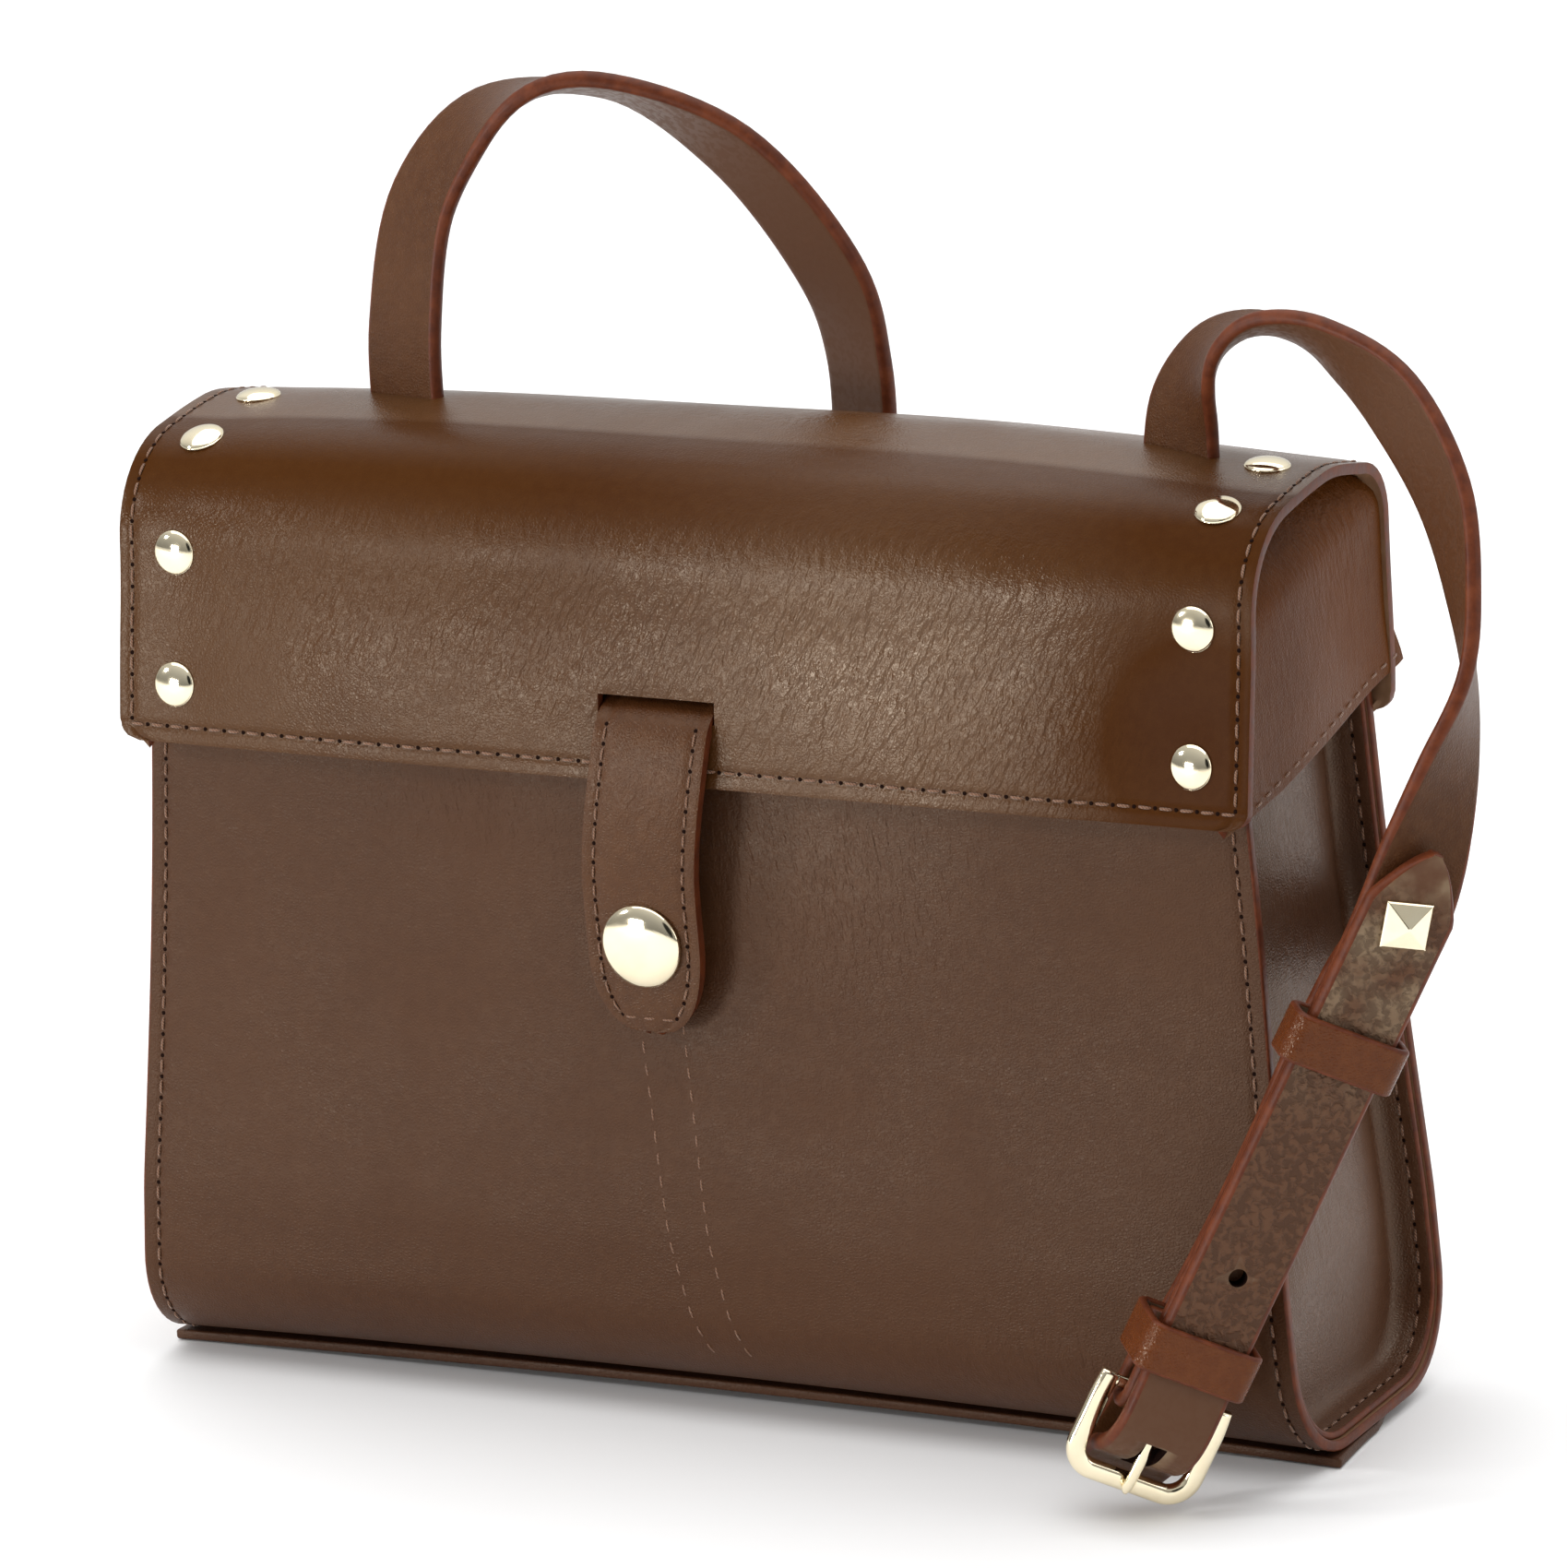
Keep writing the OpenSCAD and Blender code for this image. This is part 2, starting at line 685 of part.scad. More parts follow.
body_wrap();
base_panel();
gusset_left();
gusset_right();
base_board();
lining();
inner_pocket();
tab_strip();
magnet_base();
magnet_washer();
lid_wrap();
lid_ear_left();
lid_ear_right();
lid_rivets();
lid_rivet_washers();
strap_patches();
closure_tab();
snap_cap();
snap_socket();
strap_left_arc();
strap_right_arc();
strap_long();
strap_short();
pyramid_stud();
sliding_keeper();
fixed_keeper();
buckle_frame();
buckle_prong();
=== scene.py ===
import math

import bmesh
import bpy
import numpy as np
from mathutils import Matrix, Vector


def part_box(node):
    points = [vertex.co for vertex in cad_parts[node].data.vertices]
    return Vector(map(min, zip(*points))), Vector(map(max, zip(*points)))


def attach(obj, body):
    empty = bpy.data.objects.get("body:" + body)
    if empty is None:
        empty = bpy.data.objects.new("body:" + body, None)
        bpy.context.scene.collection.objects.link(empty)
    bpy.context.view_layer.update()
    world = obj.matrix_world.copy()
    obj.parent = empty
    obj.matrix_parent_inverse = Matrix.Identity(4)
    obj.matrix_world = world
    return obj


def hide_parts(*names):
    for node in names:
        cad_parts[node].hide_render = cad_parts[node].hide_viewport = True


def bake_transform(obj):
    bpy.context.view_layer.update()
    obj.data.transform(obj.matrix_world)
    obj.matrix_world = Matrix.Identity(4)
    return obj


# Everything is measured in millimetres here and turned into metres when a mesh is made.
# +Z is up and the front of the bag faces -Y.
MM = 0.001

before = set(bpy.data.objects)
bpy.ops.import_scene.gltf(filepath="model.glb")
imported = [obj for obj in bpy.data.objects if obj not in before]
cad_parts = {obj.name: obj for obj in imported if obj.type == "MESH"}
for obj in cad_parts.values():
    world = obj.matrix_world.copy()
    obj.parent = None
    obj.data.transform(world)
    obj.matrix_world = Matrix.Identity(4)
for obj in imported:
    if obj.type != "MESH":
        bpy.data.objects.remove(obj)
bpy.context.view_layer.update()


def box_mm(node):
    low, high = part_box(node)
    return np.array(low) / MM, np.array(high) / MM


body_low, body_high = box_mm("body_wrap")
lid_low, lid_high = box_mm("lid_wrap")
base_high = box_mm("base_panel")[1]
ear_face = box_mm("lid_ear_right")[1][0]
gusset_top = box_mm("gusset_right")[1][2]

# thicknesses of the leathers, and the strap's width
BODY_LEATHER = 2.2
GUSSET_LEATHER = 1.5
EAR_LEATHER = 1.8
TAB_LEATHER = 2.6
STRAP_LEATHER = 3.4
STRAP_WIDTH = 19.0


# ---------------------------------------------------------------- materials

def srgb(red, green, blue):
    """Display colour 0-255 to the linear colour that shaders use."""
    def linear(c):
        c = c / 255
        return c / 12.92 if c <= 0.04045 else ((c + 0.055) / 1.055) ** 2.4
    return (linear(red), linear(green), linear(blue), 1.0)


class Nodes:
    """A node tree, with short calls to add nodes and link them."""

    def __init__(self, tree):
        self.tree = tree

    def node(self, kind, settings=None, **inputs):
        made = self.tree.nodes.new("ShaderNode" + kind)
        for key, value in (settings or {}).items():
            setattr(made, key, value)
        for key, value in inputs.items():
            self.put(made, key.replace("_", " "), value)
        return made

    def put(self, node, key, value):
        socket = node.inputs[int(key)] if key.isdigit() else node.inputs[key]
        if isinstance(value, bpy.types.NodeSocket):
            self.tree.links.new(value, socket)
        else:
            socket.default_value = value

    def math(self, operation, first, second=0.0, clamp=False):
        made = self.node("Math", {"operation": operation, "use_clamp": clamp})
        self.put(made, "0", first)
        self.put(made, "1", second)
        return made.outputs[0]

    def times(self, first, second):
        return self.math("MULTIPLY", first, second)

    def plus(self, first, second):
        return self.math("ADD", first, second)

    def mix(self, factor, first, second):
        made = self.node("MixRGB")
        self.put(made, "Fac", factor)
        self.put(made, "Color1", first)
        self.put(made, "Color2", second)
        return made.outputs[0]

    def ramp(self, factor, low, high, out_low=0.0, out_high=1.0, shape="SMOOTHSTEP"):
        made = self.node("MapRange", {"interpolation_type": shape}, Value=factor)
        self.put(made, "From Min", low)
        self.put(made, "From Max", high)
        self.put(made, "To Min", out_low)
        self.put(made, "To Max", out_high)
        return made.outputs[0]


class Shader(Nodes):
    """The node tree of one new material."""

    def __init__(self, name):
        self.material = bpy.data.materials.new(name)
        self.material.use_nodes = True
        super().__init__(self.material.node_tree)
        self.tree.nodes.clear()
        self.surface = self.node("BsdfPrincipled")
        self.node("OutputMaterial", Surface=self.surface.outputs[0])
        self.place = self.node("TexCoord").outputs["Object"]

    def set(self, **inputs):
        for key, value in inputs.items():
            self.put(self.surface, key.replace("_", " "), value)

    def noise(self, scale, detail=3.0, roughness=0.5, place=None, distortion=0.0):
        made = self.node("TexNoise", Scale=scale, Detail=detail, Roughness=roughness,
                         Distortion=distortion, Vector=place or self.place)
        return made.outputs[0]

    def stretched(self, scale, turn):
        """Coordinates turned by `turn` degrees and then scaled, so that long marks can lean."""
        made = self.node("Mapping", {"vector_type": "TEXTURE"}, Vector=self.place)
        made.inputs["Scale"].default_value = [1 / s for s in scale]
        made.inputs["Rotation"].default_value = [math.radians(a) for a in turn]
        return made.outputs[0]

    def attribute(self, name):
        return self.node("Attribute", {"attribute_name": name}).outputs["Fac"]

    def bump(self, height, distance, strength=1.0, under=None):
        made = self.node("Bump", Height=height, Distance=distance * MM, Strength=strength)
        if under is not None:
            self.put(made, "Normal", under)
        return made.outputs[0]


# what full painted shade does to leather: its share of the painted shade colour and its loss of shine
PAINTED_SHADE_TONE = 0.4
PAINTED_SHADE_DULL = 0.9
WARM_SHINE = (1.0, 0.87, 0.7, 1.0)


def leather(name, colour, dark, light, gloss=0.4, pores=0.05, pore_size=0.7, crease=0.25,
            crease_turn=(0, 30, 0), coat=0.03, reflect=0.3, shaded=1.0):
    """Smooth dyed leather: cloudy colour, fine pores, and creases where the mesh asks for them.
    A mesh attribute paints shade: it darkens and dulls zones of the leather, and where it is low the
    leather keeps a painted sheen; `shaded` is how much of it counts."""
    shader = Shader(name)
    painted_shade = shader.times(shader.attribute("painted_shade"), shaded)
    cloud = shader.ramp(shader.noise(16, 3), 0.3, 0.7)
    fleck = shader.ramp(shader.noise(420, 3, 0.6), 0.35, 0.7)
    tone = shader.mix(cloud, dark, colour)
    tone = shader.mix(shader.times(fleck, 0.3), tone, light)
    # painted shade: the leather is mixed toward a deep brown where the painted shade attribute is high
    tone = shader.mix(shader.times(painted_shade, PAINTED_SHADE_TONE), tone, PAINTED_SHADE_BROWN)
    asked = shader.attribute("crease")
    warp = shader.noise(1.0, 2, 0.5, shader.stretched((760, 760, 270), crease_turn), 0.25)
    fold = shader.noise(1.0, 1, 0.5, shader.stretched((260, 260, 110), crease_turn), 0.5)
    wrinkle = shader.plus(warp, shader.times(fold, 0.7))
    wrinkle = shader.times(shader.ramp(wrinkle, 0.5, 1.15), asked)
    cells = shader.node("TexVoronoi", {"feature": "DISTANCE_TO_EDGE"}, Scale=1000 / pore_size,
                        Vector=shader.place).outputs["Distance"]
    cells = shader.ramp(cells, 0.0, 0.35)
    soft = shader.noise(55, 2)
    normal = shader.bump(soft, 0.9, 0.35)
    normal = shader.bump(wrinkle, crease, 1.0, normal)
    normal = shader.bump(cells, pores, 1.0, normal)
    shine = shader.ramp(shader.noise(30, 4, 0.6), 0.3, 0.7, gloss - 0.05, gloss + 0.08)
    shine = shader.plus(shine, shader.times(shader.noise(900, 2), 0.06))
    # painted shade also dims the shine, so the zones where it is low read as a painted sheen
    dull = shader.times(painted_shade, PAINTED_SHADE_DULL)
    level = shader.times(shader.math("SUBTRACT", 1.0, dull, clamp=True), reflect)
    shader.set(Base_Color=tone, Roughness=shine, Normal=normal, Coat_Weight=coat,
               Coat_Roughness=0.32, Specular_IOR_Level=level, Specular_Tint=WARM_SHINE)
    return shader.material


def flesh_leather(name, colour, dark, light, depth=0.24):
    """The back of the strap: fine soft pebbles with painted shade in their hollows, pale with a painted
    sheen where the painted shade attribute is low and browner where it is high.
    """
    shader = Shader(name)
    asked = shader.attribute("crease")
    pebble = shader.ramp(shader.noise(640, 3, 0.5, None, 0.4), 0.38, 0.6)
    patch = shader.ramp(shader.noise(90, 3, 0.6), 0.35, 0.65)
    # painted sheen: paler patches, shown only where painted shade is low
    pale = shader.mix(patch, colour, light)
    tone = shader.mix(shader.attribute("painted_shade"), pale, colour)
    # painted shade in the hollows between the pebbles
    painted_hollow_shade = shader.times(shader.math("SUBTRACT", 1.0, pebble), asked)
    tone = shader.mix(shader.times(painted_hollow_shade, 0.55), tone, dark)
    normal = shader.bump(shader.times(pebble, asked), depth, 1.0)
    shader.set(Base_Color=tone, Normal=normal, Roughness=shader.ramp(pebble, 0.0, 1.0, 0.6, 0.45),
               Specular_IOR_Level=0.35, Specular_Tint=(1.0, 0.9, 0.76, 1.0))
    return shader.material


def painted_edge(name, colour, dark):
    """Sealed edge paint: warm, half glossy, with a faint layered run along the edge."""
    shader = Shader(name)
    streak = shader.noise(240, 4, 0.65)
    tone = shader.mix(shader.ramp(streak, 0.3, 0.75), dark, colour)
    shader.set(Base_Color=tone, Roughness=shader.ramp(streak, 0.2, 0.8, 0.36, 0.52),
               Normal=shader.bump(shader.noise(800, 3), 0.08), Specular_IOR_Level=0.2)
    return shader.material


def thread_material(name, colour, dark):
    shader = Shader(name)
    twist = shader.node("TexWave", {"wave_type": "BANDS", "bands_direction": "DIAGONAL"},
                        Scale=900.0, Distortion=1.5, Vector=shader.place).outputs["Fac"]
    shader.set(Base_Color=shader.mix(twist, dark, colour), Roughness=0.62,
               Normal=shader.bump(twist, 0.1), Sheen_Weight=0.3)
    return shader.material


# near-black material that paints the shade inside holes
def plain_dark(name, colour):
    shader = Shader(name)
    speck = shader.noise(700, 2)
    shader.set(Base_Color=shader.mix(speck, colour, srgb(26, 12, 8)), Roughness=0.9,
               Normal=shader.bump(speck, 0.1), Specular_IOR_Level=0.05)
    return shader.material


def metal(name, colour, tarnish, roughness):
    """Plated metal with faint handling marks."""
    shader = Shader(name)
    smudge = shader.ramp(shader.noise(140, 4, 0.6), 0.35, 0.75)
    scratch = shader.noise(1.0, 3, 0.6, shader.stretched((260, 260, 2600), (20, 35, 0)))
    shader.set(Base_Color=shader.mix(shader.times(smudge, 0.4), colour, tarnish),
               Metallic=1.0, Roughness=shader.ramp(smudge, 0.0, 1.0, roughness, roughness + 0.09),
               Normal=shader.bump(scratch, 0.006))
    return shader.material


def twill(name, colour, dark):
    """Woven cotton cloth with diagonal ribs."""
    shader = Shader(name)
    rib = shader.node("TexWave", {"bands_direction": "DIAGONAL"}, Scale=420.0, Distortion=0.4,
                      Vector=shader.place).outputs["Fac"]
    warp = shader.node("TexWave", {"bands_direction": "X"}, Scale=900.0, Distortion=0.6,
                       Vector=shader.place).outputs["Fac"]
    weave = shader.times(rib, shader.plus(shader.times(warp, 0.5), 0.5))
    tone = shader.mix(weave, dark, colour)
    tone = shader.mix(shader.times(shader.noise(45, 3), 0.3), tone, dark)
    shader.set(Base_Color=tone, Roughness=0.9, Normal=shader.bump(weave, 0.15), Sheen_Weight=0.25)
    return shader.material


# deep brown that leather is mixed toward for painted shade
PAINTED_SHADE_BROWN = srgb(52, 25, 12)
BROWN = srgb(80, 50, 32)
BROWN_DARK = srgb(74, 44, 27)
BROWN_LIGHT = srgb(92, 60, 38)

LID = leather("lid_leather", srgb(79, 47, 17), srgb(72, 41, 14), srgb(89, 56, 24), gloss=0.28,
              pores=0.03, crease=0.34, crease_turn=(0, 26, 0), reflect=0.66)
EAR = leather("ear_leather", srgb(89, 47, 13), srgb(79, 41, 10), srgb(99, 56, 20), gloss=0.4,
              crease=0.3, crease_turn=(12, 0, 0), reflect=0.08)
BODY = leather("body_leather", srgb(71, 40, 19), srgb(65, 35, 15), srgb(81, 49, 25), gloss=0.4,
               crease_turn=(0, -8, 0), crease=0.35, reflect=0.48)
GUSSET = leather("gusset_leather", BROWN, BROWN_DARK, BROWN_LIGHT, gloss=0.34, crease_turn=(10, 0, 0),
                 reflect=0.55)
BASE = leather("base_leather", BROWN_DARK, srgb(60, 33, 20), BROWN, gloss=0.45)
TAB = leather("tab_leather", srgb(75, 42, 19), srgb(67, 36, 15), srgb(89, 54, 27), gloss=0.33, reflect=0.3)
# only half the painted shade counts on the strap's face
STRAP = leather("strap_leather", srgb(84, 50, 26), srgb(73, 41, 20), srgb(100, 64, 36), gloss=0.36,
                crease_turn=(0, 60, 0), reflect=0.36, shaded=0.5)
KEEPER = leather("keeper_leather", srgb(90, 42, 12), srgb(76, 33, 8), srgb(106, 56, 20), gloss=0.2,
                 coat=0.0, reflect=0.28)
# for both flesh-side leathers the dark colour paints shade in the pebble hollows and the pale colour
# paints a sheen where painted shade is low
FLESH = flesh_leather("strap_back", srgb(84, 52, 32), srgb(48, 26, 15), srgb(124, 103, 80))
INSIDE = flesh_leather("leather_inside", srgb(112, 80, 56), srgb(92, 62, 42), srgb(130, 98, 72), 0.1)
EDGE = painted_edge("edge_paint", srgb(106, 52, 26), srgb(78, 35, 17))
THREAD = thread_material("thread", srgb(134, 93, 62), srgb(94, 59, 37))
# painted shade for needle holes and for the walls of cut holes
PAINTED_HOLE_SHADE = plain_dark("needle_hole", srgb(24, 12, 8))
GOLD = metal("pale_gold", (0.96, 0.86, 0.63, 1), (0.87, 0.73, 0.47, 1), 0.07)
STEEL = metal("nickel", (0.6, 0.6, 0.6, 1), (0.45, 0.44, 0.42, 1), 0.25)
CLOTH = twill("lining_twill", srgb(168, 140, 108), srgb(128, 100, 74))
BOARD = twill("board_cloth", srgb(120, 98, 76), srgb(84, 66, 50))


# ---------------------------------------------------------------- mesh helpers

def smooth_line(points, steps):
    """Points of a smooth curve that passes through every given point."""
    points = np.array(points, float)
    last = len(points) - 1
    line = []
    for i in range(last):
        a, b, c, d = points[max(i - 1, 0)], points[i], points[i + 1], points[min(i + 2, last)]
        for j in range(steps):
            u = j / steps
            line.append(0.5 * (2 * b + (c - a) * u + (2 * a - 5 * b + 4 * c - d) * u * u
                               + (3 * b - a - 3 * c + d) * u ** 3))
    line.append(points[last])
    return np.array(line)


def arc_points(centre, radius, start, end, steps):
    angles = np.radians(np.linspace(start, end, steps + 1))
    return [(centre[0] + radius * math.cos(a), centre[1] + radius * math.sin(a)) for a in angles]


class Line:
    """A line in the Y-Z plane, measured by the distance along it."""

    def __init__(self, points):
        self.points = np.array(points, float)
        gaps = np.linalg.norm(np.diff(self.points, axis=0), axis=1)
        self.along = np.concatenate([[0], np.cumsum(gaps)])
        self.length = self.along[-1]

    def at(self, s):
        return (np.interp(s, self.along, self.points[:, 0]), np.interp(s, self.along, self.points[:, 1]))

    def normal(self, s, reach=1.5):
        """Outward direction, for a line that goes down the front and up the back."""
        y0, z0 = self.at(np.clip(s - reach, 0, self.length))
        y1, z1 = self.at(np.clip(s + reach, 0, self.length))
        size = np.hypot(y1 - y0, z1 - z0)
        return (z1 - z0) / size, -(y1 - y0) / size

    def nearest(self, y, z):
        s = np.linspace(0, self.length, 4000)
        ys, zs = self.at(s)
        return float(s[np.argmin(np.hypot(ys - y, zs - z))])


def unit(v):
    return v / np.linalg.norm(v, axis=-1, keepdims=True)


def repeated(way, count):
    return np.repeat(way[None], count, 0)


def turn_angles(count):
    """Evenly spaced angles round a full turn, in radians."""
    return np.arange(count) * 2 * math.pi / count


def new_object(name, points, faces, materials, slots=None, crease=None, painted_shade=None):
    mesh = bpy.data.meshes.new(name)
    mesh.from_pydata((np.asarray(points, float).reshape(-1, 3) * MM).tolist(), [], faces)
    for material in materials:
        mesh.materials.append(material)
    if slots is not None:
        mesh.polygons.foreach_set("material_index", slots)
    mesh.polygons.foreach_set("use_smooth", [True] * len(mesh.polygons))
    for kind, values in (("crease", crease), ("painted_shade", painted_shade)):
        amount = mesh.attributes.new(kind, "FLOAT", "POINT")
        amount.data.foreach_set("value", np.zeros(len(mesh.vertices)) if values is None
                                else np.asarray(values, float).ravel())
    made = bpy.data.objects.new(name, mesh)
    bpy.context.scene.collection.objects.link(made)
    return made


def apply_modifiers(piece):
    """Replaces the piece's mesh with what its modifiers make of it."""
    graph = bpy.context.evaluated_depsgraph_get()
    graph.update()
    final = bpy.data.meshes.new_from_object(piece.evaluated_get(graph), depsgraph=graph)
    piece.modifiers.clear()
    piece.data = final


def edit_mesh(piece, edit):
    """Runs edit(shape) on the piece's mesh as a bmesh."""
    shape = bmesh.new()
    shape.from_mesh(piece.data)
    edit(shape)
    shape.to_mesh(piece.data)
    shape.free()


def weld(piece):
    edit_mesh(piece, lambda shape: bmesh.ops.remove_doubles(shape, verts=shape.verts, dist=0.02 * MM))


def face_outward(piece):
    edit_mesh(piece, lambda shape: bmesh.ops.recalc_face_normals(shape, faces=shape.faces))


def round_edges(piece, width, segments, above=30, material=-1, slide=True):
    """Bevels the edges that bend by more than `above` degrees. `material` colours the bevel."""
    soft = piece.modifiers.new("rounding", "BEVEL")
    soft.width = width * MM
    soft.segments = segments
    soft.material = material
    soft.limit_method = "ANGLE"
    soft.angle_limit = math.radians(above)
    soft.loop_slide = slide


def hand_in(piece, nodes=(), body=None):
    """Hides the CAD nodes that the piece stands for and attaches it to the body that it rides on."""
    if nodes:
        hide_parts(*nodes)
    if body:
        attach(piece, body)


def grid_normals(points):
    across = np.gradient(points, axis=1)
    down = np.gradient(points, axis=0)
    return unit(np.cross(across, down) + 1e-12)


def sheet(name, surface, us, vs, thick, materials, relief=None, crease=None, hole=None, flip=False,
          closed=False, rounding=0.55, painted_shade=None):
    """A sheet of leather. surface(u, v) is its visible face; its thickness goes behind that face.
    materials are those of the face, the painted edge and the back."""
    u, v = np.meshgrid(us, vs)
    points = surface(u, v)
    turn = -1 if flip else 1
    if relief is not None:
        points = points + grid_normals(points) * turn * relief(u, v)[..., None]
    rows, columns = u.shape
    faces = []
    last = columns if closed else columns - 1
    for r in range(rows - 1):
        for c in range(last):
            d = (c + 1) % columns
            if hole is not None and hole((us[c] + us[d]) / 2, (vs[r] + vs[r + 1]) / 2):
                continue
            ring = [r * columns + c, r * columns + d, (r + 1) * columns + d, (r + 1) * columns + c]
            faces.append(ring[::-1] if flip else ring)
    amount = crease(u, v) if crease is not None else None
    dark = painted_shade(u, v) if painted_shade is not None else None
    piece = new_object(name, points, faces, materials, crease=amount, painted_shade=dark)
    weld(piece)
    solid = piece.modifiers.new("thickness", "SOLIDIFY")
    solid.thickness = thick * MM
    solid.offset = -1
    solid.use_even_offset = True
    solid.material_offset = 2
    solid.material_offset_rim = 1
    round_edges(piece, min(rounding, thick * 0.42), 3, above=48, material=1, slide=False)
    apply_modifiers(piece)
    return piece


def edge_spaced(half, insets, step):
    """Positions from -half to half: close together at the given distances from each end, then even."""
    insets = np.array(insets, float)
    inner = half - insets[-1]
    count = max(2, int(round(2 * inner / step)))
    middle = np.linspace(-inner, inner, count + 1)
    ends = half - insets[:-1]
    return np.unique(np.round(np.concatenate([-ends, middle, ends]), 5))


def groove(distance, depth=0.32, width=0.55):
    return -depth * np.exp(-(distance / width) ** 2)


def hills(a, b, *rows):
    """Sum of soft hills over (a, b), each given as (height, a, width in a, b, width in b)."""
    return sum(height * np.exp(-((a - a0) / wide_a) ** 2 - ((b - b0) / wide_b) ** 2)
               for height, a0, wide_a, b0, wide_b in rows)


# ---------------------------------------------------------------- stitches

STITCH_SIDES = 6
NEEDLE_HOLE = 0.44
NEEDLE_SIDES = 8
STITCH_SHAPE = [(-0.5, 0.3, -0.22), (-0.42, 0.8, 0.02), (-0.2, 1.0, 0.14),
                (0.2, 1.0, 0.14), (0.42, 0.8, 0.02), (0.5, 0.3, -0.22)]  # along, girth, height


class Seam:
    """Collects the stitches of one piece into one mesh."""

    def __init__(self):
        self.points = []
        self.faces = []
        self.slots = []

    def add_ring_shape(self, rings, slot):
        start = len(self.points)
        sides = len(rings[0])
        for ring in rings:
            self.points.extend(ring)
        for r in range(len(rings) - 1):
            for k in range(sides):
                a = start + r * sides + k
                b = start + r * sides + (k + 1) % sides
                self.faces.append([a, b, b + sides, a + sides])
                self.slots.append(slot)
        self.faces.append([start + k for k in range(sides)][::-1])
        self.faces.append([start + (len(rings) - 1) * sides + k for k in range(sides)])
        self.slots.extend([slot, slot])

    def stitch(self, point, along, out, length, radius):
        side = np.cross(along, out)
        rings = []
        for share, girth, height in STITCH_SHAPE:
            middle = point + along * share * length + out * height
            rings.append([middle + radius * girth * (side * math.cos(a) + out * 0.7 * math.sin(a))
                          for a in turn_angles(STITCH_SIDES)])
        self.add_ring_shape(rings, 0)

    # a small near-black ring sunk in the surface paints the shade inside a needle hole
    def needle_hole(self, point, along, out):
        side = np.cross(along, out)
        rings = []
        for height, girth in ((-0.15, 0.6), (0.015, 1.0), (0.04, 0.55)):
            radius = NEEDLE_HOLE * girth
            rings.append([point + out * height + radius * (side * math.cos(a) + along * math.sin(a))
                          for a in turn_angles(NEEDLE_SIDES)])
        self.add_ring_shape(rings, 1)

    def run(self, surface, path, pitch=4.5, flip=False, radius=0.31, sink=0.12, share=0.62):
        """Stitches along a path of (u, v) points on a surface."""
        path = np.array(path, float)
        fine = np.concatenate([np.linspace(path[i], path[i + 1], 60, endpoint=False)
                               for i in range(len(path) - 1)] + [path[-1:]])
        points = surface(fine[:, 0], fine[:, 1])
        gaps = np.linalg.norm(np.diff(points, axis=0), axis=1)
        along = np.concatenate([[0], np.cumsum(gaps)])
        count = max(1, int(round(along[-1] / pitch)))
        true_pitch = along[-1] / count
        span = np.ptp(fine, axis=0) + 1e-9
        small_u, small_v = 1e-3 * max(span[0], 1e-2), 1e-3 * max(span[1], 1e-2)

        def reached(s):
            return np.array([np.interp(np.clip(s, 0, along[-1]), along, points[:, k]) for k in range(3)])

        for i in range(count + 1):
            for kind, s in (("hole", i * true_pitch), ("stitch", (i + 0.5) * true_pitch)):
                if s > along[-1]:
                    continue
                uv = np.array([np.interp(s, along, fine[:, 0]), np.interp(s, along, fine[:, 1])])
                here = surface(*[np.array([c]) for c in uv])[0]
                du = surface(np.array([uv[0] + small_u]), np.array([uv[1]]))[0] - here
                dv = surface(np.array([uv[0]]), np.array([uv[1] + small_v]))[0] - here
                out = unit(np.cross(du, dv)) * (-1 if flip else 1)
                way = unit(reached(s + 0.6) - reached(s - 0.6))
                way = unit(way - out * (way @ out))
                if kind == "stitch":
                    wobble = 0.05 * math.sin(7.3 * i + 1.1)
                    tilt = unit(way + wobble * np.cross(way, out))
                    self.stitch(here - out * sink, tilt, out, true_pitch * share, radius)
                else:
                    self.needle_hole(here - out * (sink + 0.05), way, out)

    def finish(self, name, body):
        piece = new_object(name, self.points, self.faces, [THREAD, PAINTED_HOLE_SHADE], slots=self.slots)
        hand_in(piece, body=body)
        return piece


# ---------------------------------------------------------------- body

half_deep = body_high[1]
BASE_RADIUS = 22.0
corner_y = half_deep - BASE_RADIUS
corner_z = body_low[2] + BASE_RADIUS
mouth_z = body_high[2]
MOUTH_HALF_DEEP = 31.5
TAPER_LOW = 40.0
TAPER_HIGH = 130.0
BODY_STITCH = 3.7
SEAM_START = 6.0
BASE_GAP = 16.0
# the body's width at its mouth, as a share of its width at the floor
MOUTH_SHARE = 240.0 / 262.0
half_wide = body_high[0] / (1 - (1 - MOUTH_SHARE) * body_low[2] / mouth_z)


def half_depth(z):
    """Half depth of the body at height z, above its rolled edge."""
    taper = half_deep - MOUTH_HALF_DEEP
    rise = np.clip((z - TAPER_LOW) / (TAPER_HIGH - TAPER_LOW), 0, 1)
    return half_deep - taper * 0.93 * np.sin(rise * math.pi / 2) \
        - taper * 0.07 * np.clip((z - TAPER_HIGH) / (mouth_z - TAPER_HIGH), 0, 1)


def half_width(z):
    return half_wide * (1 - (1 - MOUTH_SHARE) * z / mouth_z)


back_half = [(half_depth(z), z) for z in np.arange(mouth_z, corner_z, -4.0)]
back_half += arc_points((corner_y, corner_z), BASE_RADIUS, 0, -90, 18)
front_half = [(-y, z) for y, z in back_half]
body_line = Line(front_half + back_half[::-1])
bottom_middle = body_line.length / 2


def soft_waves(x, z, seed=0.0):
    """Slow unevenness of hand-cut leather, about -1 to 1."""
    return (np.sin(x / 31 + z / 47 + seed) + np.sin(x / 53 - z / 29 + 1.7 * seed)
            + np.sin(x / 19 + z / 83 + 2.3 * seed)) / 3


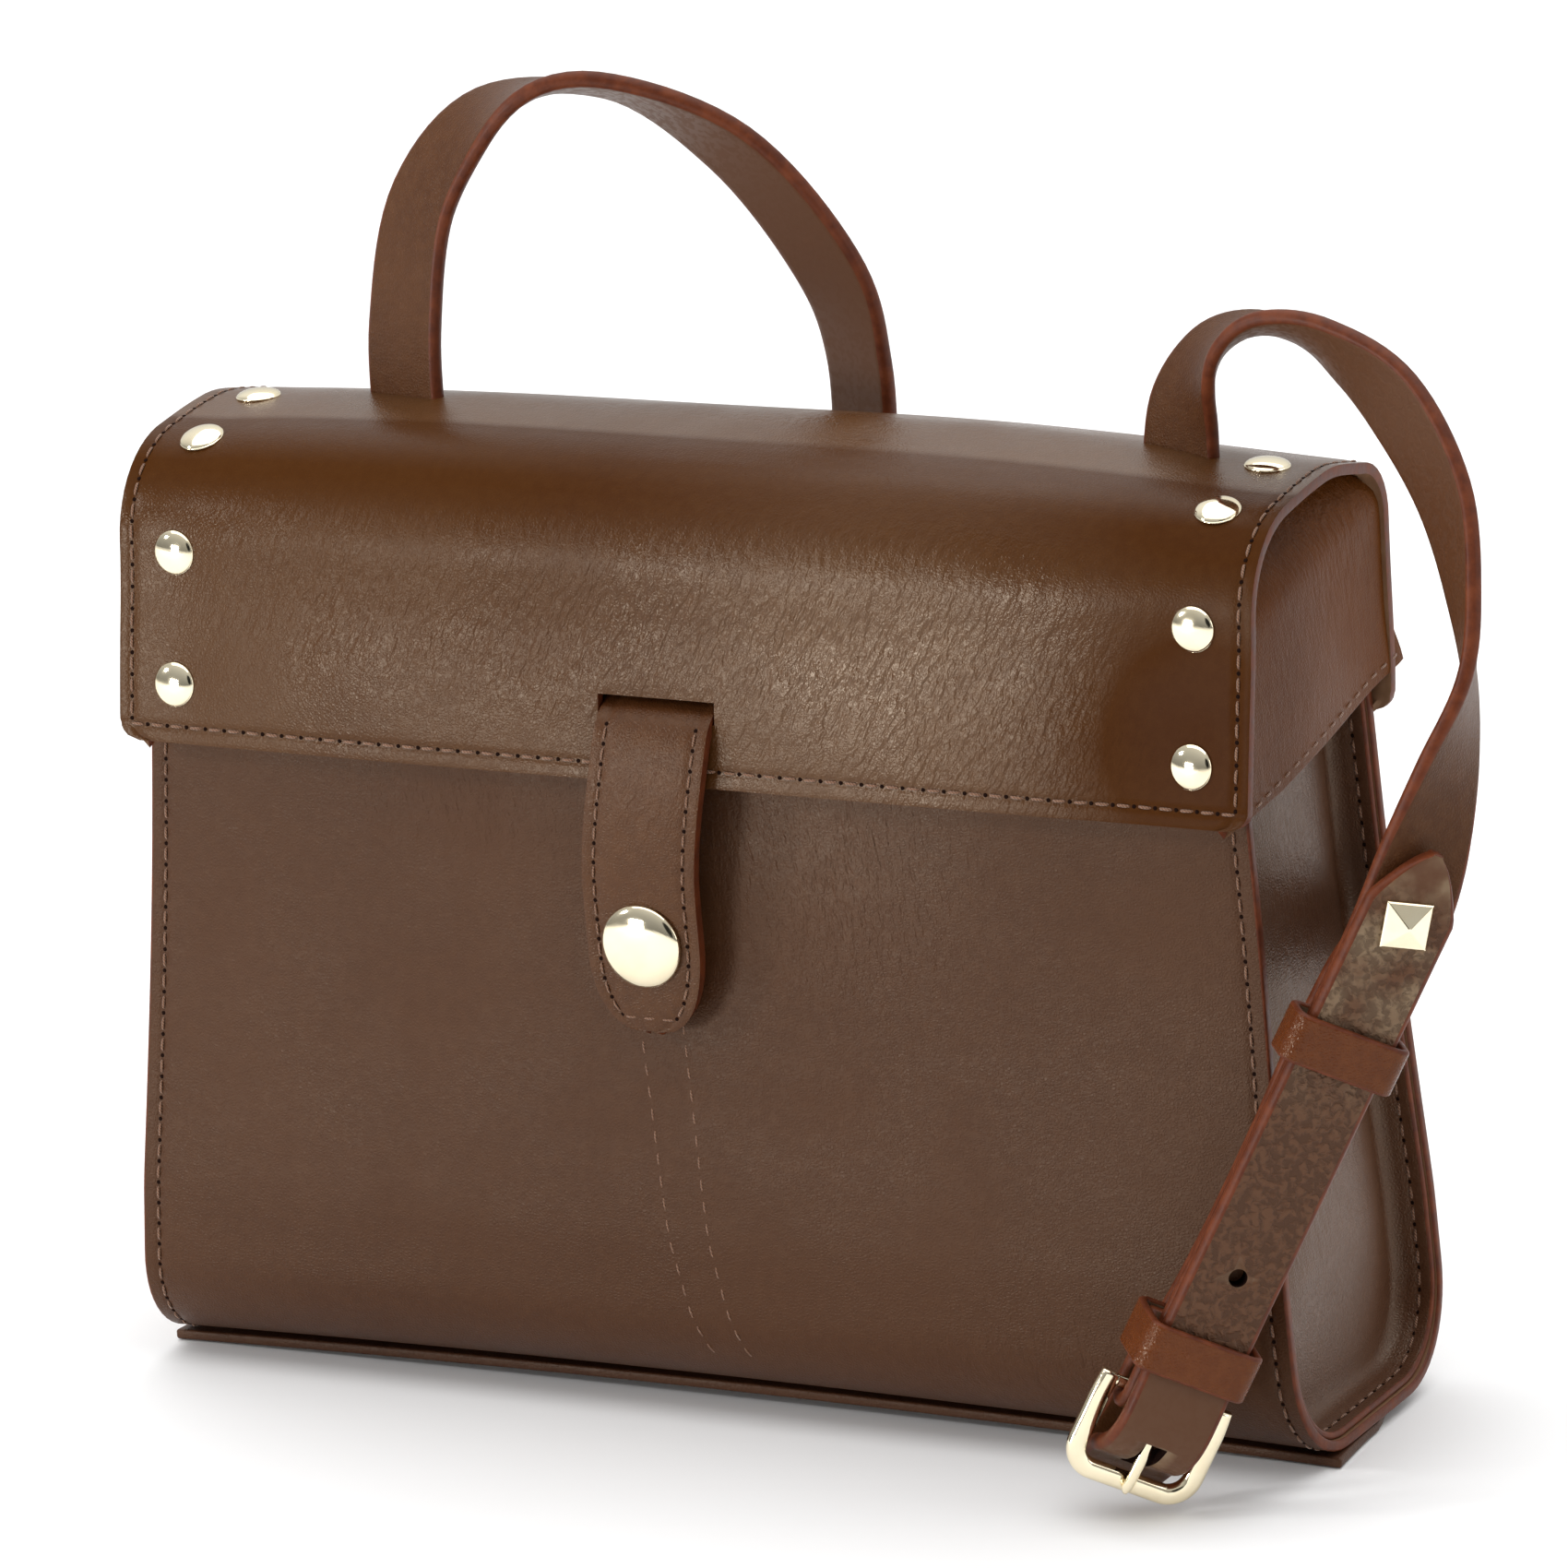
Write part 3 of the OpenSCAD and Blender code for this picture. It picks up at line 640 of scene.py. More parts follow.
def body_surface(u, v):
    """u from -1 to 1 across the bag, v along the sheet from the front mouth to the back mouth."""
    y, z = body_line.at(v)
    out_y, out_z = body_line.normal(v)
    x = u * half_width(z)
    upright = np.clip((z - 12) / 40, 0, 1)
    tucked = np.clip((mouth_z - z) / 45, 0, 1)
    puff = upright * tucked * (1.2 * (1 - u ** 2) + 0.6 * soft_waves(x, z, 0.6))
    arch = 2.2 * (1 - u ** 2) * np.clip(1 - z / 30, 0, 1)
    return np.stack([x, y + out_y * puff, z + out_z * puff + arch], -1)


def body_relief(u, v):
    inset = (1 - np.abs(u)) * half_wide
    return groove(inset - BODY_STITCH)


def body_crease(u, v):
    y, z = body_line.at(v)
    x = u * half_width(z)
    front = y < 0
    lines = hills(x, z, (1, 34, 26, 118, 22), (0.5, -50, 30, 126, 12), (0.35, 80, 40, 20, 16))
    return np.where(front, lines, hills(x, z, (0.5, -20, 50, 120, 30))) + 0.04


def body_painted_shade(u, v):
    """Painted shade: even, slightly darker and duller leather, but for a painted sheen patch under the
    lid, right of the tab.
    """
    y, z = body_line.at(v)
    x = u * half_width(z)
    patch = np.where(y < 0, hills(x, z, (1, 32, 26, 122, 18)), 0.0)
    return 0.5 * (1 - patch)


def make_body():
    insets = [0, 0.9, 2.2, BODY_STITCH - 0.7, BODY_STITCH, BODY_STITCH + 0.7, BODY_STITCH + 2.2, 9]
    us = edge_spaced(half_wide, insets, 3.6) / half_wide
    vs = np.linspace(0, body_line.length, 150)
    piece = sheet("body_shell", body_surface, us, vs, BODY_LEATHER, [BODY, EDGE, INSIDE], body_relief,
                  body_crease, flip=True, painted_shade=body_painted_shade)
    hand_in(piece, ["body_wrap"], "bag")
    seam = Seam()
    edge = 1 - BODY_STITCH / half_wide
    for edge_u in (-edge, edge):
        for start, end in ((SEAM_START, bottom_middle - BASE_GAP),
                           (bottom_middle + BASE_GAP, body_line.length - SEAM_START)):
            seam.run(body_surface, [(edge_u, start), (edge_u, end)], flip=True)
    # two slanting rows hold the stiffening strip under the tab
    low_row = [(-13.0, 90), (-11.9, 84), (-6.4, 40), (-2.8, 24), (0.7, 13)]
    high_row = [(-3.4, 90), (-2.3, 84), (2.5, 40), (5.8, 24), (9.0, 13)]
    for row in (low_row, high_row):
        path = []
        for x, z in row:
            s = body_line.nearest(-half_depth(z) if z > corner_z else -corner_y - math.sqrt(
                BASE_RADIUS ** 2 - (corner_z - z) ** 2), z)
            path.append((x / half_width(z), s))
        seam.run(body_surface, path, flip=True, radius=0.22)
    seam.finish("body_stitches", "bag")


def make_base():
    """Strip under the body, bowed up in the middle, with pointed corners."""
    wide, deep, high = base_high
    us = edge_spaced(wide, [0, 1, 3, 6], 4.5) / wide
    vs = edge_spaced(deep, [0, 1, 3, 5], 4.5) / deep

    def surface(u, v):
        reach = wide - 1.5 * (1 - np.abs(v) ** 1.5) - 9.0 * np.clip(v, 0, 1) ** 1.3
        lift = 2.0 * (1 - u ** 2)
        return np.stack([u * reach, v * deep, high - 0.1 + lift], -1)

    piece = sheet("base_strip", surface, us, vs, high - 0.3, [BASE, BASE, BASE])
    hand_in(piece, ["base_panel"], "bag")


# ---------------------------------------------------------------- gussets

RECESS = 9.0
FLANGE_FACE = BODY_LEATHER + 0.1 + GUSSET_LEATHER
GUSSET_BULGE = 4.4
# The visible face, from the free edge of the flange to the start of the wall:
# (distance inside the body's outer face, distance inside the panel edge).
GUSSET_RINGS = [(FLANGE_FACE, 0.7), (FLANGE_FACE, 1.6), (FLANGE_FACE, 3.0), (FLANGE_FACE, 3.7),
                (FLANGE_FACE, 4.4), (FLANGE_FACE, 6.0), (FLANGE_FACE + 0.3, 7.6),
                (FLANGE_FACE + 1.1, 8.8), (FLANGE_FACE + 2.4, RECESS + 0.3)]
STITCHED_RING = 3
WALL_RINGS = 14
flange_rows = len(GUSSET_RINGS) - 1
gusset_start = body_line.nearest(-half_depth(gusset_top), gusset_top)


def gusset_surface_on(side):
    """u along the U of the body from front top to back top, v by ring: 0 is the flange's free edge."""
    insets, recesses = np.array(GUSSET_RINGS).T
    rings = np.arange(len(GUSSET_RINGS))

    def surface(u, v):
        inset = np.interp(v, rings, insets)
        recess = np.interp(v, rings, recesses)
        y, z = body_line.at(u)
        out_y, out_z = body_line.normal(u)
        y = y - out_y * inset
        z = z - out_z * inset
        inward = np.clip((v - flange_rows) / WALL_RINGS, 0, 1)
        z_middle = np.maximum(z, 44)
        y = y * (1 - inward)
        z = z + (z_middle - z) * inward
        bulge = GUSSET_BULGE * (1 - (1 - inward) ** 2.2) * np.clip((z - 8) / 30, 0, 1)
        bulge = bulge + 0.5 * soft_waves(y * 1.5, z, 2.0) * inward
        x = side * (half_width(z) - recess + bulge)
        return np.stack([x, y, z], -1)

    return surface


def gusset_relief(u, v):
    return -0.25 * np.clip(1 - np.abs(v - STITCHED_RING), 0, 1)


def gusset_crease(u, v):
    inward = np.clip((v - flange_rows) / WALL_RINGS, 0, 1)
    return 0.55 * inward + 0.05


def make_gussets():
    us = np.linspace(gusset_start, body_line.length - gusset_start, 140)
    vs = np.arange(len(GUSSET_RINGS) + WALL_RINGS, dtype=float)
    for side, name in ((-1, "gusset_left"), (1, "gusset_right")):
        surface = gusset_surface_on(side)
        flip = side < 0
        piece = sheet(name + "_leather", surface, us, vs, GUSSET_LEATHER, [GUSSET, EDGE, INSIDE],
                      gusset_relief, gusset_crease, flip=flip)
        hand_in(piece, [name], "bag")
        seam = Seam()
        seam.run(surface, [(us[2], STITCHED_RING), (us[-3], STITCHED_RING)], flip=flip, sink=0.1)
        seam.finish(name + "_stitches", "bag")


# ---------------------------------------------------------------- lid

lid_half = lid_high[0]
lid_top = lid_high[2] - 0.1
LID_SIDE_STITCH = 2.7
LID_END_STITCH = 3.4
LID_CORNER = 4.5
LID_BULGE = 2.6
# in front of these are the lid's front face, and its front face with the bend above it
LID_FRONT_Y = -20.0
LID_BEND_Y = -10.0
SLOT_MIDDLE_X = -2.7
SLOT_HALF_WIDE = 13.0
SLOT_LOW = 148.0
SLOT_HIGH = 152.6

front_bend = arc_points((-12.2, lid_top - 22.9), 21.5, 180, 96, 14)
back_bend = arc_points((22, lid_top - 15.9), 13, 82, 0, 10)
lid_front = [(-39.2, 135.4), (-38.4, 141.5), (-37.5, 148), (-36.2, 156), (-34.7, 165)]
lid_back = [(35.0, 171), (35.2, 160), (35.3, lid_low[2] + 15.1), (34.9, 145), (34.6, 140)]
lid_flat = [(0, lid_top), (10, lid_top)]
lid_line = Line(smooth_line(lid_front + front_bend + lid_flat + back_bend + lid_back, 4))
rivet_x = 112.7
RIVET_SPOTS = [(-37.6, 147.4), (-33.7, 174), (-19.1, 194.4), (5.2, lid_top)]
rivet_along = [lid_line.nearest(y, z) for y, z in RIVET_SPOTS]


def lid_reach(v):
    """Half width of the lid sheet at v, with its four corners rounded."""
    end = np.minimum(v, lid_line.length - v)
    past = LID_CORNER - np.minimum(end, LID_CORNER)
    return lid_half - LID_CORNER + np.sqrt(np.maximum(LID_CORNER ** 2 - past ** 2, 0))


def lid_surface(u, v):
    """u from -1 to 1 across the lid, v along it from its front edge over the top to its back edge."""
    y, z = lid_line.at(v)
    out_y, out_z = -np.array(lid_line.normal(v))
    x = u * lid_reach(v)
    free = np.clip((lid_line.length - v) / 40, 0, 1)
    top = np.clip((z - 165) / 30, 0, 1)
    puff = free * (LID_BULGE * top * (1 - u ** 2) + 0.55 * (1 - u ** 2)
                   + 0.5 * soft_waves(x, z + y, 1.2))
    puff += hills(x, v, *[(-0.75, side * rivet_x, 9, s, 10) for side in (-1, 1) for s in rivet_along])
    puff += np.where(y < LID_FRONT_Y, hills(x, z, (1.9, 24, 46, 168, 26), (-1.3, 100, 14, 152, 22),
                                            (0.8, -72, 26, 160, 20), (-0.5, -12, 26, 142, 10)), 0)
    return np.stack([x, y + out_y * puff, z + out_z * puff], -1)


def lid_relief(u, v):
    inset = (1 - np.abs(u)) * lid_half
    dent = groove(inset - LID_SIDE_STITCH)
    dent = np.minimum(dent, groove(v - LID_END_STITCH))
    return np.minimum(dent, groove(lid_line.length - v - LID_END_STITCH))


def lid_crease(u, v):
    y, z = lid_line.at(v)
    x = u * lid_half
    front = hills(x, z, (1, 45, 46, 163, 20), (0.7, -25, 50, 166, 16), (0.4, -85, 22, 172, 18),
                  (0.6, 75, 30, 145, 12))
    return np.where(y < 0, np.clip(front, 0, 1), hills(x, z, (0.3, 0, 80, 190, 12))) + 0.04


def lid_painted_shade(u, v):
    """Painted shade: darker, duller leather on the front outside a painted sheen patch right of the
    middle, most of all round the right-hand rivets and in a band along the front bend."""
    y, z = lid_line.at(v)
    x = u * lid_half
    dark = 0.72 + hills(x, z, (-0.72, 46, 46, 163, 24), (0.9, 110, 24, 154, 22))
    # a band of painted shade along the front bend
    bend = 0.4 * np.exp(-((z - 190) / 7) ** 2)
    return np.where(y < LID_BEND_Y, np.clip(dark + bend, 0, 1.6), 0.0)


def in_slot(u, v):
    y, z = lid_line.at(v)
    x = u * lid_half
    return y < LID_FRONT_Y and SLOT_LOW < z < SLOT_HIGH and abs(x - SLOT_MIDDLE_X) < SLOT_HALF_WIDE


def make_lid():
    us = edge_spaced(lid_half, [0, 0.9, 2.0, 2.7, 3.4, 5, 8], 3.2)
    us = np.concatenate([us, [SLOT_MIDDLE_X - SLOT_HALF_WIDE, SLOT_MIDDLE_X + SLOT_HALF_WIDE]])
    us = np.unique(us) / lid_half
    ends = np.array([0, 0.9, 1.9, 2.7, 3.4, 4.1, 5.2, 7])
    slot_low = lid_line.nearest(-37.5, SLOT_LOW)
    slot_high = lid_line.nearest(-37.0, SLOT_HIGH)
    middle = np.arange(9.5, lid_line.length - 8, 2.6)
    middle = middle[(np.abs(middle - slot_low) > 1.0) & (np.abs(middle - slot_high) > 1.0)]
    vs = np.sort(np.concatenate([ends, middle, [slot_low, slot_high], lid_line.length - ends]))
    piece = sheet("lid_shell", lid_surface, us, vs, BODY_LEATHER, [LID, EDGE, INSIDE], lid_relief,
                  lid_crease, hole=in_slot, painted_shade=lid_painted_shade)
    hand_in(piece, ["lid_wrap"])
    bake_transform(piece)
    seam = Seam()
    side_u = 1 - LID_SIDE_STITCH / lid_half
    end_v = LID_END_STITCH
    side_end = lid_line.length - 25
    seam.run(lid_surface, [(-side_u, side_end), (-side_u, end_v), (SLOT_MIDDLE_X / lid_half, end_v),
                           (side_u, end_v), (side_u, side_end)])
    seam.finish("lid_stitches", "lid")
    hinge_seam = Seam()
    hinge_seam.run(lid_surface, [(-side_u, lid_line.length - end_v), (side_u, lid_line.length - end_v)])
    hinge_seam.finish("hinge_stitches", "bag")


EAR_MIDDLE = np.array([2.0, 165.0])


def ear_outline():
    """The lid's side as a closed loop of (y, z), from the front bottom corner over the top."""
    inset = BODY_LEATHER + 0.1
    front = [(-38.8 + inset, 137.0), (-37.4 + inset, 150), (-34.7 + inset, 165)]
    bend = arc_points((-12.2, lid_top - 22.9), 21.5 - inset, 180, 96, 8)
    top = [(0, lid_top - inset), (10, lid_top - inset)]
    back = arc_points((22, lid_top - 15.9), 13 - inset, 82, 0, 6)
    tail = [(33.2, 172), (34.6, 160), (39.6, 149.3)]
    sole = [(20, 145.8), (0, 142.2), (-20, 138.6)]
    return np.array(front + bend + top + back + tail + sole)


def filled_in(loop, step):
    """The same closed loop with points about `step` apart."""
    ring = []
    for a, b in zip(loop, np.roll(loop, -1, 0)):
        count = max(1, int(round(np.linalg.norm(b - a) / step)))
        ring += [a + (b - a) * k / count for k in range(count)]
    return np.array(ring)


def ear_x(y, z):
    """How far out the ear's face is: softly swollen, flared at the back corner, and turned in
    under the lid above a line that rises to the back."""
    above = z - 182 - 0.16 * (y - 5)
    tuck = 0.8 * np.log1p(np.exp(above / 1.4)) * 1.4
    return ear_face - tuck + hills(y, z, (1.3, -5, 22, 158, 18), (1, 38, 8, 150, 8))


def make_ears():
    ring = filled_in(ear_outline(), 2.2)
    closed_ring = np.append(ring, ring[:1], 0)
    us = np.arange(len(ring), dtype=float)
    near_edge = [0.89, 0.915, 0.935, 0.95, 0.965, 0.98, 0.99, 1.0]
    vs = np.concatenate([np.linspace(0.0, 0.86, 20), near_edge])

    def spot(u, v):
        """Y and Z at u round the edge and v from the middle outward."""
        edge = [np.interp(u, np.arange(len(closed_ring)), closed_ring[:, k]) for k in (0, 1)]
        return [EAR_MIDDLE[k] + (edge[k] - EAR_MIDDLE[k]) * v for k in (0, 1)]

    def crease(u, v):
        y, z = spot(u, v)
        return hills(y, z, (0.8, 14, 22, 184, 14)) + 0.25

    for side, name in ((-1, "lid_ear_left"), (1, "lid_ear_right")):
        def wavy(u, v, side=side):
            y, z = spot(u, v)
            waves = 0.4 * soft_waves(y * 2, z * 1.4, 3.1) * (1 - v ** 3)
            return np.stack([side * (ear_x(y, z) + waves), y, z], -1)

        def plain(y, z, side=side):
            return np.stack([side * ear_x(y, z), y, z], -1)

        piece = sheet(name + "_leather", wavy, us, vs, EAR_LEATHER, [EAR, EDGE, INSIDE], None, crease,
                      flip=side < 0, closed=True)
        hand_in(piece, [name], "lid")
        seam = Seam()
        seam.run(plain, [(-33.5, 138.6), (37.0, 151.4)], flip=side < 0, sink=0.05)
        seam.finish(name + "_stitches", "lid")


# ---------------------------------------------------------------- turned metal

def turned(profile, origin, axis, sides=40):
    """Points and faces of a part turned about an axis. profile holds (radius, height)."""
    axis = unit(np.array(axis, float))
    first = unit(np.cross(axis, [0.31, 0.2, 0.93]))
    second = np.cross(axis, first)
    angles = turn_angles(sides)
    points, faces = [], []
    for radius, height in profile:
        for a in angles:
            points.append(origin + axis * height + radius * (first * math.cos(a) + second * math.sin(a)))
    for r in range(len(profile) - 1):
        for k in range(sides):
            n = (k + 1) % sides
            faces.append([r * sides + k, r * sides + n, (r + 1) * sides + n, (r + 1) * sides + k])
    faces.append(list(range(sides))[::-1])
    faces.append([(len(profile) - 1) * sides + k for k in range(sides)])
    return points, faces


def dome(radius, rim, rise, rings=8):
    """Profile of a domed cap: straight rim, rolled shoulder, round crown."""
    shoulder = rim * 0.6
    shape = [(radius * 0.9, -0.4), (radius, 0.0), (radius, shoulder)]
    for i in range(rings + 1):
        angle = i / rings * math.pi / 2
        height = shoulder + (rim * 0.4 + rise) * math.sin(angle) ** 1.15
        shape.append((max(radius * math.cos(angle), 0.02), height))
    return shape


def surface_frame(surface, u, v, flip=False):
    here = surface(np.array([u]), np.array([v]))[0]
    du = surface(np.array([u + 0.004]), np.array([v]))[0] - here
    dv = surface(np.array([u]), np.array([v + 0.4]))[0] - here
    return here, unit(np.cross(du, dv)) * (-1 if flip else 1)


def make_rivets():
    """All eight caps as one piece."""
    points, faces = [], []
    for side in (-1, 1):
        for s in rivet_along:
            here, out = surface_frame(lid_surface, side * rivet_x / lid_half, s)
            cap_points, cap_faces = turned(dome(4.6, 0.5, 1.25), here + out * 0.05, out)
            faces += [[i + len(points) for i in face] for face in cap_faces]
            points += cap_points
    piece = new_object("rivet_caps", points, faces, [GOLD])
    hand_in(piece, ["lid_rivets"], "lid")


# ---------------------------------------------------------------- tab

TAB_HALF = 12.5
TAB_LOW = 84.0
SNAP_X = -6.5
SNAP_Y = -42.1
SNAP_Z = 102.5
TAB_STITCH = 2.6
tab_line = Line(smooth_line([(-33.8, 151.8), (-36.6, 150.5), (-39.2, 149.0), (-41.4, 145.8), (-43.1, 139),
                             (-44.0, 130), (-43.7, 120), (-42.7, 111), (SNAP_Y, SNAP_Z), (-41.7, 93),
                             (-40.6, TAB_LOW)], 6))
snap_along = tab_line.nearest(SNAP_Y, SNAP_Z)


def tab_half(v):
    """Half width of the tab: full, then a blunt round tip."""
    from_tip = np.clip((tab_line.length - v) / 19.0, 0, 1)
    return TAB_HALF * (0.22 + 0.78 * np.sqrt(np.clip(1 - (1 - from_tip) ** 2.4, 0, 1)))


def tab_surface(u, v):
    y, z = tab_line.at(v)
    lean = np.clip((149 - z) / 40, 0, 1)
    lean = lean * lean * (3 - 2 * lean)
    x = SLOT_MIDDLE_X + (SNAP_X - SLOT_MIDDLE_X) * lean + u * tab_half(v)
    crown = 0.35 * (1 - u ** 2)
    return np.stack([x, y - crown, z], -1)


def tab_relief(u, v):
    inset = (1 - np.abs(u)) * tab_half(v)
    snap_dent = hills(u * tab_half(v), v, (-0.25, 0, 9.5, snap_along, 9.5))
    return groove(inset - TAB_STITCH, 0.3) + snap_dent


def bend_at_slot(piece):
    """Bakes the piece's transform into its mesh."""
    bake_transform(piece)


def make_tab():
    edge = np.array([0, 0.8, 1.9, 2.6, 3.3, 4.6]) / TAB_HALF
    us = np.concatenate([edge - 1, np.linspace(-0.5, 0.5, 7), 1 - edge[::-1]])
    vs = np.concatenate([np.linspace(0, tab_line.length - 21, 34)[:-1],
                         tab_line.length - 21 * np.linspace(1, 0, 22) ** 1.5])

    def crease(u, v):
        y, z = tab_line.at(v)
        return hills(u, z, (0.6, 0, 1.2, 132, 9)) + 0.05

    piece = sheet("tab_leather_piece", tab_surface, us, vs, TAB_LEATHER, [TAB, EDGE, TAB], tab_relief,
                  crease, flip=True, rounding=0.9)
    hand_in(piece, ["closure_tab"])
    bend_at_slot(piece)
    seam = Seam()

    def inner_path(side):
        return [(side * max(0.02, 1 - TAB_STITCH / tab_half(v)), v)
                for v in np.linspace(8, tab_line.length - TAB_STITCH - 0.4, 30)]

    seam.run(tab_surface, inner_path(-1) + inner_path(1)[::-1], pitch=4.1, flip=True, radius=0.25)
    bend_at_slot(seam.finish("tab_stitches", None))


def make_snap_cap():
    here, out = surface_frame(tab_surface, 0.0, snap_along, flip=True)
    points, faces = turned(dome(8.7, 0.8, 2.0, 12), here + out * 0.1, out, sides=64)
    cap = new_object("snap_cap_dome", points, faces, [GOLD])
    hand_in(cap, ["snap_cap"], "tab")


# ---------------------------------------------------------------- strap

run_start = np.array([103.8, -63.0, 8.7])
run_end = np.array([142.4, -40.7, 95.7])
run_along = unit(run_end - run_start)
out_hint = np.array([0.6, -0.8, -0.06])
run_out = unit(out_hint - run_along * (out_hint @ run_along))
run_across = np.cross(run_along, run_out)
BAR_T = 18.7
SHORT_N = 3.2
LONG_N = 6.6
BACK_N = -9.2
NEAR_N = -6.3
BACK_SHIFT = 4.0
STRAP_TIP = 12.0
PIN_HOLE = 1.9
PIN_HOLE_T = 48.5
LOOSE_KEEPER_T = 97.8
SEWN_KEEPER_T = 30.0
STUD_T = 126.0
TIP_T = 141.0


def on_run(t, n, across=0.0):
    """The point t along the straight run, n outward from it and `across` to its side."""
    return run_start + t * run_along + n * run_out + across * run_across


def run_station(t, n, across=0.0):
    return (on_run(t, n, across), -run_across)


LEFT_ARC = [((-79, 7.4, 191), (0.966, -0.259, 0)), ((-79, 8, 213), (0.96, -0.27, 0.1)),
            ((-75, 12, 239), (0.93, -0.37, 0.07)), ((-60, 16, 257.5), (0.8, -0.55, 0.1)),
            ((-38, 22, 262), (0.3, -0.87, 0.35)), ((-14, 30, 248.5), (0.6, -0.53, 0.6)),
            ((2, 38, 224), (0.84, -0.35, 0.41)), ((6, 43, 203), (0.88, -0.42, 0.1)),
            ((6, 44, 177), (0.9, -0.42, 0)), ((7, 44, 157), (0.96, -0.28, 0.05))]
BEHIND = [((13, 43, 136), (0.9, -0.05, 0.4)), ((30, 42, 122), (0.66, 0, 0.75)),
          ((62, 41, 108.5), (0.38, 0, 0.92)), ((100, 39.5, 100), (0.15, 0, 0.99)),
          ((121, 38.5, 98), (0, 0, 1)), ((128.5, 31, 98.5), (0, 0, 1)), ((131.5, 14, 102), (0, 0.1, 1)),
          ((138.5, -8, 105.5), (-0.1, 0.1, 0.9)), ((143.5, -24, 104), (-0.45, -0.1, 0.75))]
RETURN = [(92, BACK_N + 1.2, BACK_SHIFT), (75, NEAR_N, BACK_SHIFT), (52, NEAR_N, BACK_SHIFT),
          (32, BACK_N, BACK_SHIFT), (9, BACK_N + 0.2, 1.0),
          (3.5, -8.8), (1, -6.6), (2.8, -4.4),
          (5, -2), (6.6, 1.6), (9.4, 5.2), (14.5, 7.4), (22.7, 7.4), (32, LONG_N), (60, LONG_N),
          (90, LONG_N), (120, LONG_N), (TIP_T, LONG_N + 0.3)]
RIGHT_ARC = [((92.8, 8, 191), (0.966, -0.259, 0)), ((94, 8, 206), (0.9, -0.42, -0.08)),
             ((99, 7.4, 217), (0.55, -0.8, -0.3)), ((107.5, 6.2, 223.3), (0.1, -0.99, -0.05)),
             ((118, 4, 225), (-0.1, -0.85, 0.45)), ((130, 1, 222), (0.2, -0.65, 0.75)),
             ((144, -3, 213.3), (0.5, -0.35, 0.75)), ((155.7, -8, 197), (0.7, -0.5, 0.5)),
             ((161.7, -14, 178.3), (0.58, -0.78, 0.27)), ((164, -19.5, 163), (0.3, -0.92, 0.3)),
             ((162, -27, 146), (-0.25, -0.9, 0.35))]
BUCKLE_FOLD = [(133, SHORT_N - 0.3), (118, SHORT_N, 0.7), (90, SHORT_N, 0.9), (60, SHORT_N, 0.9),
               (40, SHORT_N, 0.5), (25, SHORT_N), (BAR_T + 1, SHORT_N)]


def ribbon_frames(stations, steps):
    middle = smooth_line([s[0] for s in stations], steps)
    side = smooth_line([s[1] for s in stations], steps)
    along = unit(np.gradient(middle, axis=0))
    side = unit(side - along * np.sum(side * along, axis=1, keepdims=True))
    return middle, along, side, unit(np.cross(side, along))


def strap_section(width, thick):
    """Outline across the strap: (across, height, material). 0 is the face, 1 the edge, 2 the back."""
    low, turn = thick / 2, thick * 0.36
    flat = width / 2 - turn
    outline = []
    for side, surface in ((1, 0), (-1, 2)):
        for share in (-1.0, -0.9, -0.6, -0.2, 0.2, 0.6, 0.9):
            outline.append((side * share * flat, side * low, surface))
        outline.append((side * flat, side * low, 1))
        for a in np.radians([60, 30, 0, -30, -60]):
            across, height = flat + turn * math.cos(a), (low - 0.05) * math.sin(a) * 1.02
            outline.append((side * across, side * height, 1))
    return outline


def sweep(name, middle, side, up, section, materials, widths=None, closed=False, crease=None, painted_shade=None):
    """Carries a cross-section along a path. widths scales it across, station by station."""
    count, around = len(middle), len(section)
    widths = np.ones(count) if widths is None else widths
    points = []
    for i in range(count):
        for across, height, _ in section:
            points.append(middle[i] + side[i] * across * widths[i] + up[i] * height)
    faces, slots = [], []
    for i in range(count if closed else count - 1):
        j = (i + 1) % count
        for k in range(around):
            n = (k + 1) % around
            faces.append([i * around + k, i * around + n, j * around + n, j * around + k])
            slots.append(section[k][2])
    if not closed:
        faces.append(list(range(around))[::-1])
        faces.append([(count - 1) * around + k for k in range(around)])
        slots += [1, 1]
    crease, painted_shade = (None if values is None else np.repeat(values, around) for values in (crease, painted_shade))
    piece = new_object(name, points, faces, materials, slots=slots, crease=crease, painted_shade=painted_shade)
    face_outward(piece)
    return piece


def cut(piece, points, faces):
    """Cuts a closed shape out of a piece; the walls of the cut get painted shade, a near-black colour."""
    cutter = new_object("cutter", points, faces, [PAINTED_HOLE_SHADE])
    face_outward(cutter)
    boolean = piece.modifiers.new("cut", "BOOLEAN")
    boolean.operation = "DIFFERENCE"
    boolean.solver = "EXACT"
    boolean.material_mode = "TRANSFER"
    boolean.object = cutter
    apply_modifiers(piece)
    bpy.data.objects.remove(cutter)


def run_block(across, t0, t1, n0, n1):
    """Corners and faces of a block on the straight run, `across` wide on both sides of its middle."""
    points = [on_run(t, n, a) for t in (t0, t1) for n in (n0, n1) for a in (-across, across)]
    faces = [[0, 1, 3, 2], [4, 6, 7, 5], [0, 4, 5, 1], [2, 3, 7, 6], [0, 2, 6, 4], [1, 5, 7, 3]]
    return points, faces


